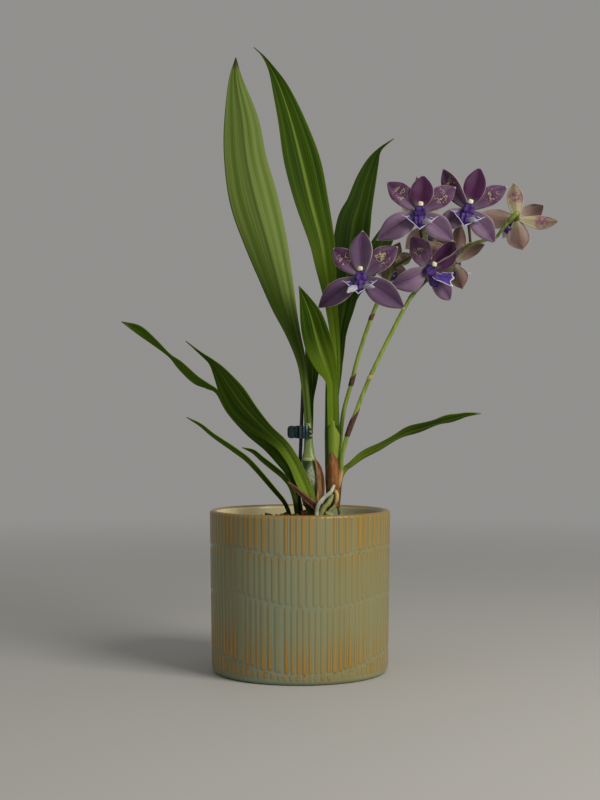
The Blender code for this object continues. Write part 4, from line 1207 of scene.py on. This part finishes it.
def lay_tepal(middle, front, kind, right, up, width, lean, roll):
    """One tepal, from beside the middle to its tip, creased down the middle and curled at its rim."""
    plane = -(front.x * right + front.z * up) / front.y
    tip = middle + Vector((right, plane + math.copysign(lean, front.y), up))
    foot = middle + (tip - middle).normalized() * 1.6 + front * 0.6
    along = (tip - foot).normalized()
    across = along.cross(front).normalized()
    turn = Matrix.Rotation(math.radians(roll), 3, along)
    across, face = turn @ across, turn @ across.cross(along).normalized()
    if face.dot(front) < 0:
        face = -face
    bow, curl = (1.8, -3) if kind == "petal" else (3.2, -2.2)
    cup, fold = (0.22, 0.12) if kind == "petal" else (0.34, 0.1)
    bpy.ops.mesh.primitive_grid_add(x_subdivisions=TEPAL_COLUMNS, y_subdivisions=TEPAL_ROWS, size=2)
    tepal = bpy.context.object
    length = (tip - foot).length
    fuller = -math.copysign(0.14, across.z) if up < 0 else 0
    for vert in tepal.data.vertices:
        side, reach = vert.co.x, (vert.co.y + 1) / 2
        half = width / 2 * tepal_outline(reach, kind) * (1 + fuller * side)
        rise = bow * math.sin(math.pi * reach) + curl * reach ** 4
        lift = half * (cup * abs(side) ** 1.6 + fold * abs(side) - 0.2 * abs(side) ** 7)
        ripple = 0.28 * math.sin(reach * 19 + side * 2) * abs(side) ** 3 * math.sin(math.pi * reach)
        point = foot + along * length * reach + across * side * half + face * (rise + lift + ripple)
        vert.co = point * MM
    return tepal


def face_towards(piece, front):
    """Turn the normals over if the piece's faces look away from the flower's front."""
    total = Vector((0, 0, 0))
    for polygon in piece.data.polygons:
        total += polygon.normal * polygon.area
    if total.dot(front) < 0:
        piece.data.flip_normals()


def make_tepals(number, middle, axes, tepals):
    for kind in sorted({shape[0] for shape in tepals}):
        made = []
        for shape in [shape for shape in tepals if shape[0] == kind]:
            deselect_all()
            tepal = lay_tepal(middle, axes[2], *shape)
            face_towards(tepal, axes[2])
            bpy.ops.object.shade_smooth()
            thicken(tepal, TEPAL_THICKNESS, TEPAL_SKINS[kind])
            made.append(tepal)
        piece = join_pieces(made, f"flower_{number}_{kind}s")
        place_part(piece, "orchid", "tepal", *([f"flower_{number}_perianth"] if kind == "petal" else []))


def lip_skin(name, deep, pale, rim_start):
    skin = Recipe(name)
    across, along = skin.axis("X", "UV"), skin.axis("Y", "UV")
    rays = skin.noise(20, 2, (1, 0.12, 1), "UV")
    edge = skin.math("MAXIMUM", skin.ramp(along, rim_start, rim_start + 0.07),
                     skin.ramp(skin.away(across, 0.5), 0.455, 0.49))
    colour = skin.blend(rays, deep, pale)
    skin.set(Base_Color=skin.mix(edge, colour, (0.62, 0.6, 0.68)), Roughness=0.45, Sheen_Weight=0.3,
             Sheen_Tint=(0.7, 0.7, 1, 1))
    skin.bump(rays, 0.0003, 0.6)
    return skin.material


LIP_FACE = lip_skin("lip_face", (0.03, 0.012, 0.17), (0.1, 0.05, 0.36), 0.88)
LIP_BACK = lip_skin("lip_back", (0.3, 0.28, 0.36), (0.5, 0.49, 0.52), 0.8)


def make_lip(number, middle, axes, reach, depth):
    """A frilled scoop, narrow under the column, with a lobe to each side and a point below."""
    right, up, front = axes
    deselect_all()
    bpy.ops.mesh.primitive_grid_add(x_subdivisions=30, y_subdivisions=18, size=2)
    lip = bpy.context.object
    for vert in lip.data.vertices:
        side, out = vert.co.x, (vert.co.y + 1) / 2
        wide = abs(side)
        back = Vector((8 * side, -8 + 4 * wide ** 1.2, 3.4 + 2.4 * wide))
        rim = Vector((13.2 * side, -15.4 + 11.4 * wide ** 0.85, 13.6 - 3.6 * wide))
        place = back.lerp(rim, out)
        frill = math.sin(side * 15 + 0.6) * 0.4 * out ** 5 * (0.4 + wide) / reach
        place += Vector((0, -1.1 * math.sin(math.pi * out) + frill, 0.8 * out ** 6 * math.cos(side * 11)))
        vert.co = (middle + right * place.x + up * place.y * depth + front * place.z * reach) * MM
    face_towards(lip, up + front)
    bpy.ops.object.shade_smooth()
    thicken(lip, 0.5 * MM, (LIP_FACE, LIP_BACK))
    lip.name = f"flower_{number}_lip_scoop"
    place_part(lip, "orchid", "lip", f"flower_{number}_lip")


def violet_flesh():
    skin = Recipe("column_flesh")
    streak = skin.noise(330, 3)
    skin.set(Base_Color=skin.blend(streak, (0.034, 0.012, 0.11), (0.11, 0.05, 0.26)),
             Roughness=0.6, Specular_IOR_Level=0.25)
    skin.bump(streak, 0.0003, 0.5)
    return skin.material


def cap_wax():
    skin = Recipe("anther_cap_wax")
    cloud = skin.noise(500, 3)
    colour = skin.mix(skin.ramp(cloud, 0.4, 0.7), (0.72, 0.66, 0.42), (0.8, 0.76, 0.6))
    skin.set(Base_Color=colour, Roughness=0.4)
    skin.bump(cloud, 0.0002, 0.5)
    return skin.material


VIOLET_FLESH = violet_flesh()
CAP_WAX = cap_wax()


def shape_ball(sizes, shape):
    """A ball whose points are moved by a rule, in mm in the flower's own directions."""
    deselect_all()
    bpy.ops.mesh.primitive_uv_sphere_add(segments=sizes[0], ring_count=sizes[1], radius=1)
    ball = bpy.context.object
    for vert in ball.data.vertices:
        vert.co = shape(vert.co.copy())
    bpy.ops.object.shade_smooth()
    return ball


def set_in_flower(piece, middle, axes):
    right, up, front = axes
    for vert in piece.data.vertices:
        vert.co = (middle + right * vert.co.x + up * vert.co.y + front * vert.co.z) * MM


def make_column(number, middle, axes, lip_axes):
    """A hooded club over the lip, with a ribbed cushion under it and the waxy cap on its end."""
    def squared(point):
        total = sum(abs(value) ** 3.4 for value in point) ** (1 / 3.4)
        return point / total

    def club(point):
        block = squared(point)
        taper = 0.78 + 0.22 * min(max(0.6 - block.y, 0), 1)
        hollow = 1.1 * math.exp(-(block.x / 0.5) ** 2) * max(block.z, 0)
        depth = block.z * 3.6 + 5.8 + 0.9 * block.y - hollow
        return Vector((block.x * 4.7 * taper, block.y * 4.2 - 0.6, depth))

    def cushion(point):
        block = squared(point)
        ribs = 1 + 0.1 * math.cos(7 * block.x)
        narrow = 1 - 0.35 * max(-block.y, 0)
        return Vector((block.x * 4.4 * narrow, block.y * 4.4 - 8, (block.z * 3 + 6.8) * ribs - 0.5 * block.y))

    def cap(point):
        lump = 1 + 0.12 * math.sin(point.x * 4 + 1) * math.cos(point.y * 3)
        depth = point.z * 1.7 + 9 + 0.7 * max(-point.y, 0)
        return Vector((point.x * 2.2 * lump, point.y * 2 * lump + 4.5, depth))

    upper, lower = shape_ball((28, 18), club), shape_ball((30, 14), cushion)
    set_in_flower(upper, middle, axes)
    set_in_flower(lower, middle, lip_axes)
    column = join_pieces([upper, lower], f"flower_{number}_column_club")
    column.data.materials.append(VIOLET_FLESH)
    place_part(column, "orchid", "column", f"flower_{number}_column")
    anther = shape_ball((18, 12), cap)
    anther.name = f"flower_{number}_anther_cap"
    set_in_flower(anther, middle, axes)
    anther.data.materials.append(CAP_WAX)
    place_part(anther, "orchid", "column")


PEDICEL_GREEN = stalk_skin("pedicel_green", (0.1, 0.14, 0.02), (0.22, 0.3, 0.05), (0.12, 0.06, 0.03))
PEDICEL_BROWN = stalk_skin("pedicel_brown", (0.04, 0.022, 0.01), (0.09, 0.05, 0.02), (0.1, 0.1, 0.02))


def make_pedicel(number, middle, axes, start):
    """A stalk that leaves the spike, swells into the ovary and meets the flower's back."""
    front = axes[2]
    ovary = middle - front * 9
    begin = Vector(start)
    bow = begin.lerp(ovary, 0.5) + Vector((0, 0, 1.2))
    way = [tuple(place) for place in (begin, bow, ovary, middle + front * 0.6)]
    stout = 1.25 if number == 4 else 1
    radii = [0.95, 1.05, 1.2, 1.5, 1.6, 1.5, 1.9]
    pedicel = lay_tube(f"flower_{number}_pedicel_stalk", way, [radius * stout for radius in radii], 18, 30)
    pedicel.data.materials.append(PEDICEL_BROWN if number in (2, 3) else PEDICEL_GREEN)
    place_part(pedicel, "orchid", "stalk", f"flower_{number}_pedicel")


# White lobes that hang from a lip's front: flower, right, down, width, forward and lift in mm.
LIP_LOBES = [(1, -8, -14.6, 5.4, 15.6, 0.5), (1, 12, -10.4, 3.8, 14.6, 0.3),
             (2, 8.6, -9.4, 4.4, 15, 0.4), (3, 8, -9.8, 4.2, 15, 0.4)]


def make_lip_lobes():
    """Small folded lobes that show the lip's white underside."""
    for index, (number, right, up, width, forward, lift) in enumerate(LIP_LOBES):
        place, facing, top = FLOWERS[number][:3]
        axes = flower_axes(facing, top)
        deselect_all()
        bpy.ops.mesh.primitive_grid_add(x_subdivisions=10, y_subdivisions=16, size=2)
        lobe = bpy.context.object
        foot, tip = Vector((right * 0.16, -9, 8.5)), Vector((right, up, forward))
        across = (tip - foot).cross(Vector((0, 0, 1))).normalized()
        for vert in lobe.data.vertices:
            side, out = vert.co.x, (vert.co.y + 1) / 2
            belly = 0.35 + 0.65 * math.sin(math.pi * min(out * 0.62 + 0.12, 1))
            half = width / 2 * belly * (1 - out ** 3.5) ** 0.8
            frill = 0.25 * math.sin(out * 16 + side * 3) * abs(side)
            rise = 1.6 * math.sin(math.pi * out) + lift - 0.5 * side * side + frill
            spot = foot.lerp(tip, out) + across * side * half + Vector((0, 0.3, 1)) * rise
            vert.co = (Vector(place) + axes[0] * spot.x + axes[1] * spot.y + axes[2] * spot.z) * MM
        face_towards(lobe, axes[2])
        bpy.ops.object.shade_smooth()
        thicken(lobe, 0.45 * MM, (LIP_BACK, LIP_FACE))
        lobe.name = f"flower_{number}_lip_lobe_{index + 1}"
        place_part(lobe, "orchid", "lip")


def make_flowers():
    for number, (place, facing, top, start, tepals) in FLOWERS.items():
        middle, axes = Vector(place), flower_axes(facing, top)
        make_tepals(number, middle, axes, tepals)
        lip_facing, lip_top, reach, depth = LIP_FACING.get(number, (facing, top, 1, 1))
        lip_axes = flower_axes(lip_facing, lip_top)
        make_lip(number, middle, lip_axes, reach, depth)
        make_column(number, middle, axes, lip_axes)
        make_pedicel(number, middle, axes, start)


make_flowers()
make_lip_lobes()

# ---------------------------------------------------------------- stake
# A straight, near-black coated rod pushed through the bark, with a rounded end among the leaves.


def stake_coat():
    skin = Recipe("stake_coat")
    grain = skin.noise(300, 3, (1, 1, 0.1))
    skin.set(Base_Color=skin.mix(grain, (0.007, 0.008, 0.011), (0.016, 0.017, 0.022)), Roughness=0.42)
    skin.bump(grain, 0.0002, 0.4)
    return skin.material


def make_stake():
    def ridged(place, middle, turn, along):
        return place + (place - middle) * 0.03 * math.cos(turn * 6)

    foot, top = Vector((-4.9, 1.2, 25)), Vector((2.9, 5.2, 229))
    route = [tuple(foot.lerp(top, step / 4)) for step in range(5)]
    radii = [0.5] + [1.35] * 58 + [0.6]
    stake = lay_tube("stake_rod", route, radii, 24, 120, ridged)
    stake.data.materials.append(stake_coat())
    place_part(stake, "orchid", "stake_plastic", "stake")


make_stake()

# ---------------------------------------------------------------- clip
# A small sprung claw clip holds leaf A's stalk to the stake: two bent plates, each with a rounded
# finger tab, a waist at the hinge and three curved claws. The front plate turns on the rear one's pin.

CLIP_AXIS = Vector((-2.5, 1.5, 177.3))
# The plate's bend seen from above: along the clip, and out from the hinge's axis.
CLIP_OUTLINE = [(-9.3, 5.4), (-8, 6), (-5.6, 5.4), (-3.8, 3.6), (-2.4, 2.9), (-1, 3.5),
                (0.6, 5.3), (3.4, 6.3), (6, 5.9), (8.2, 4.6), (9.3, 2.8)]
CLIP_COLUMNS = 72
CLIP_END = 9.3
CLIP_RIBS = (2.9, 5.1)
PIN_RADIUS = 0.9
KNUCKLE_RADIUS = 1.8
CLAW_START = 6.3
CLAW_TIPS = (-4.2, -1.2, 2.2)
COIL_RADIUS = 1.47
COIL_STEPS = 28


def clip_plastic():
    """Dark blue-green plastic with a soft gloss, with a painted highlight as a pale band along its waist and
    painted highlights on its ribs.
    """
    skin = Recipe("clip_plastic_moulded")
    cloud = skin.noise(260, 3)
    streak = skin.noise(700, 2, (1, 1, 0.15))
    side = skin.axis("X")
    # Painted highlight: a pale grey band along the waist, between the tab and the barrel.
    band = skin.times(skin.ramp(side, -0.001, -0.0001), skin.ramp(side, 0.0003, 0.0012, 1, 0))
    colour = skin.blend(cloud, (0.004, 0.01, 0.014), (0.012, 0.028, 0.036))
    colour = skin.mix(skin.times(band, 0.6), colour, (0.2, 0.22, 0.22))
    # Painted highlight: pale blue streaks down the ribs, strongest on their upper half.
    ridges = skin.math("MAXIMUM", skin.ramp(skin.away(side, 0.0029), 0.0002, 0.0005, 1, 0),
                       skin.ramp(skin.away(side, 0.0051), 0.0002, 0.0006, 1, 0))
    rib_highlight = skin.times(ridges, skin.ramp(skin.axis("Z"), 0.1765, 0.1785, 0.15, 1))
    rib_highlight = skin.times(rib_highlight, skin.ramp(cloud, 0.35, 0.55, 0.3, 1))
    colour = skin.mix(rib_highlight, colour, (0.24, 0.4, 0.47))
    skin.set(Base_Color=colour, Roughness=skin.ramp(streak, 0.35, 0.65, 0.14, 0.3), Specular_IOR_Level=0.3)
    skin.bump(streak, 0.0002, 0.4)
    return skin.material


def spring_wire():
    skin = Recipe("spring_wire_steel")
    grain = skin.noise(900, 2)
    skin.set(Base_Color=skin.mix(grain, (0.32, 0.33, 0.34), (0.5, 0.5, 0.5)), Metallic=1.0, Roughness=0.3)
    skin.bump(grain, 0.0001, 0.3)
    return skin.material


CLIP_PLASTIC = clip_plastic()
SPRING_WIRE = spring_wire()


def jaw_reach(across):
    """The jaw's lower and upper edge in mm from the axis, at a place along it in mm."""
    if across < -3.7:
        half = 4.7 * max(1 - abs((across + 6.3) / 3.15) ** 2.6, 0.02) ** 0.38
        return -half, half
    swell = min(max((across + 2.6) / 1.6, 0), 1)
    droop = max(across - 5.4, 0) * 0.7
    return -3.8 - 1.1 * swell, 3.9 + swell - droop


def bend_jaw(name, side):
    """A plate bent along the outline, then cut into three claws that taper to their tips."""
    deselect_all()
    bands = 23
    bpy.ops.mesh.primitive_grid_add(x_subdivisions=CLIP_COLUMNS, y_subdivisions=bands, size=2)
    jaw = bpy.context.object
    jaw.name = name
    run = smooth_run([(across, out, 0) for across, out in CLIP_OUTLINE], CLIP_COLUMNS)
    bpy.ops.object.mode_set(mode="EDIT")
    bpy.ops.mesh.select_mode(type="FACE")
    bpy.ops.mesh.select_all(action="DESELECT")
    shape = bmesh.from_edit_mesh(jaw.data)
    for face in shape.faces:
        middle = face.calc_center_median()
        band = int((middle.y + 1) / 2 * bands)
        face.select = run[int((middle.x + 1) / 2 * CLIP_COLUMNS)][0] > CLAW_START and band in (6, 7, 15, 16)
    bmesh.update_edit_mesh(jaw.data)
    bpy.ops.mesh.delete(type="FACE")
    bpy.ops.object.mode_set(mode="OBJECT")
    for vert in jaw.data.vertices:
        across, out, _ = run[round((vert.co.x + 1) / 2 * CLIP_COLUMNS)]
        low, high = jaw_reach(across)
        band = round((vert.co.y + 1) / 2 * bands)
        height = low + (high - low) * band / bands
        if across > CLAW_START:
            claw = min(band // 8 if band < 24 else 2, 2)
            share = (across - CLAW_START) / (CLIP_END - CLAW_START)
            height += (CLAW_TIPS[claw] - height) * min(share, 1) ** 0.8 * 0.9
        ribs = sum(0.42 * math.exp(-((across - rib) / 0.5) ** 2) for rib in CLIP_RIBS)
        grip = 0.22 * max(math.cos((across + CLIP_END) * 4.2), 0) if across < -4.4 else 0
        place = Vector((across, CLIP_AXIS.y + side * (out + ribs + grip), CLIP_AXIS.z + height))
        vert.co = place * MM
    face_towards(jaw, Vector((0, side, 0)))
    bpy.ops.object.shade_smooth()
    work_in(jaw, "SOLIDIFY", thickness=MM, offset=-0.4)
    work_in(jaw, "BEVEL", width=0.22 * MM, segments=2, limit_method="ANGLE")
    return jaw


def add_barrel(radius, low, high, ends="NGON"):
    """An upright bar on the hinge's axis, or, with no ends, a skin for a ring."""
    deselect_all()
    bpy.ops.mesh.primitive_cylinder_add(vertices=28, radius=radius * MM, depth=(high - low) * MM,
                                        end_fill_type=ends,
                                        location=(CLIP_AXIS + Vector((0, 0, (low + high) / 2))) * MM)
    barrel = bpy.context.object
    bpy.ops.object.transform_apply(location=True)
    return barrel


def add_pin(low, high):
    pin = add_barrel(PIN_RADIUS, low, high)
    bpy.ops.object.shade_smooth_by_angle(angle=math.radians(40))
    return pin


def add_knuckle(low, high):
    """A ring that the pin runs through."""
    ring = add_barrel(KNUCKLE_RADIUS, low, high, "NOTHING")
    work_in(ring, "SOLIDIFY", thickness=0.6 * MM)
    bpy.ops.object.shade_smooth_by_angle(angle=math.radians(40))
    return ring


def add_lug(low, high, near, far):
    """A small block that joins a plate to its hinge."""
    deselect_all()
    middle = CLIP_AXIS + Vector((0, (near + far) / 2, (low + high) / 2))
    bpy.ops.mesh.primitive_cube_add(size=1, location=middle * MM)
    lug = bpy.context.object
    lug.scale = Vector((2.4, abs(far - near), high - low)) * MM
    bpy.ops.object.transform_apply(location=True, scale=True)
    return lug


def make_jaw(pieces, name, body, node):
    jaw = join_pieces(pieces, name)
    jaw.data.materials.clear()
    jaw.data.materials.append(CLIP_PLASTIC)
    place_part(jaw, body, "clip_plastic", node)


def make_spring():
    turns = [(CLIP_AXIS.x + COIL_RADIUS * math.cos(step * math.pi / 4),
              CLIP_AXIS.y + COIL_RADIUS * math.sin(step * math.pi / 4),
              CLIP_AXIS.z - 0.95 + step * 1.9 / COIL_STEPS) for step in range(COIL_STEPS + 1)]
    coil = lay_tube("clip_spring_coil", turns, [0.24, 0.24], 10, 160)
    coil.data.materials.append(SPRING_WIRE)
    place_part(coil, "orchid", "spring_steel", "clip_spring")


def make_clip():
    make_jaw([bend_jaw("rear_plate", 1), add_pin(-4.7, 4.7), add_lug(-2.7, -1.6, 0, 2.9),
              add_lug(1.6, 2.7, 0, 2.9)], "clip_rear_jaw", "orchid", "clip_fixed_jaw")
    make_jaw([bend_jaw("front_plate", -1), add_knuckle(-4.4, -3.1), add_knuckle(3.1, 4.4),
              add_lug(-4.4, -3.1, -2.9, -1.3), add_lug(3.1, 4.4, -2.9, -1.3)],
             "clip_front_jaw", "clip_jaw", "clip_moving_jaw")
    make_spring()


make_clip()
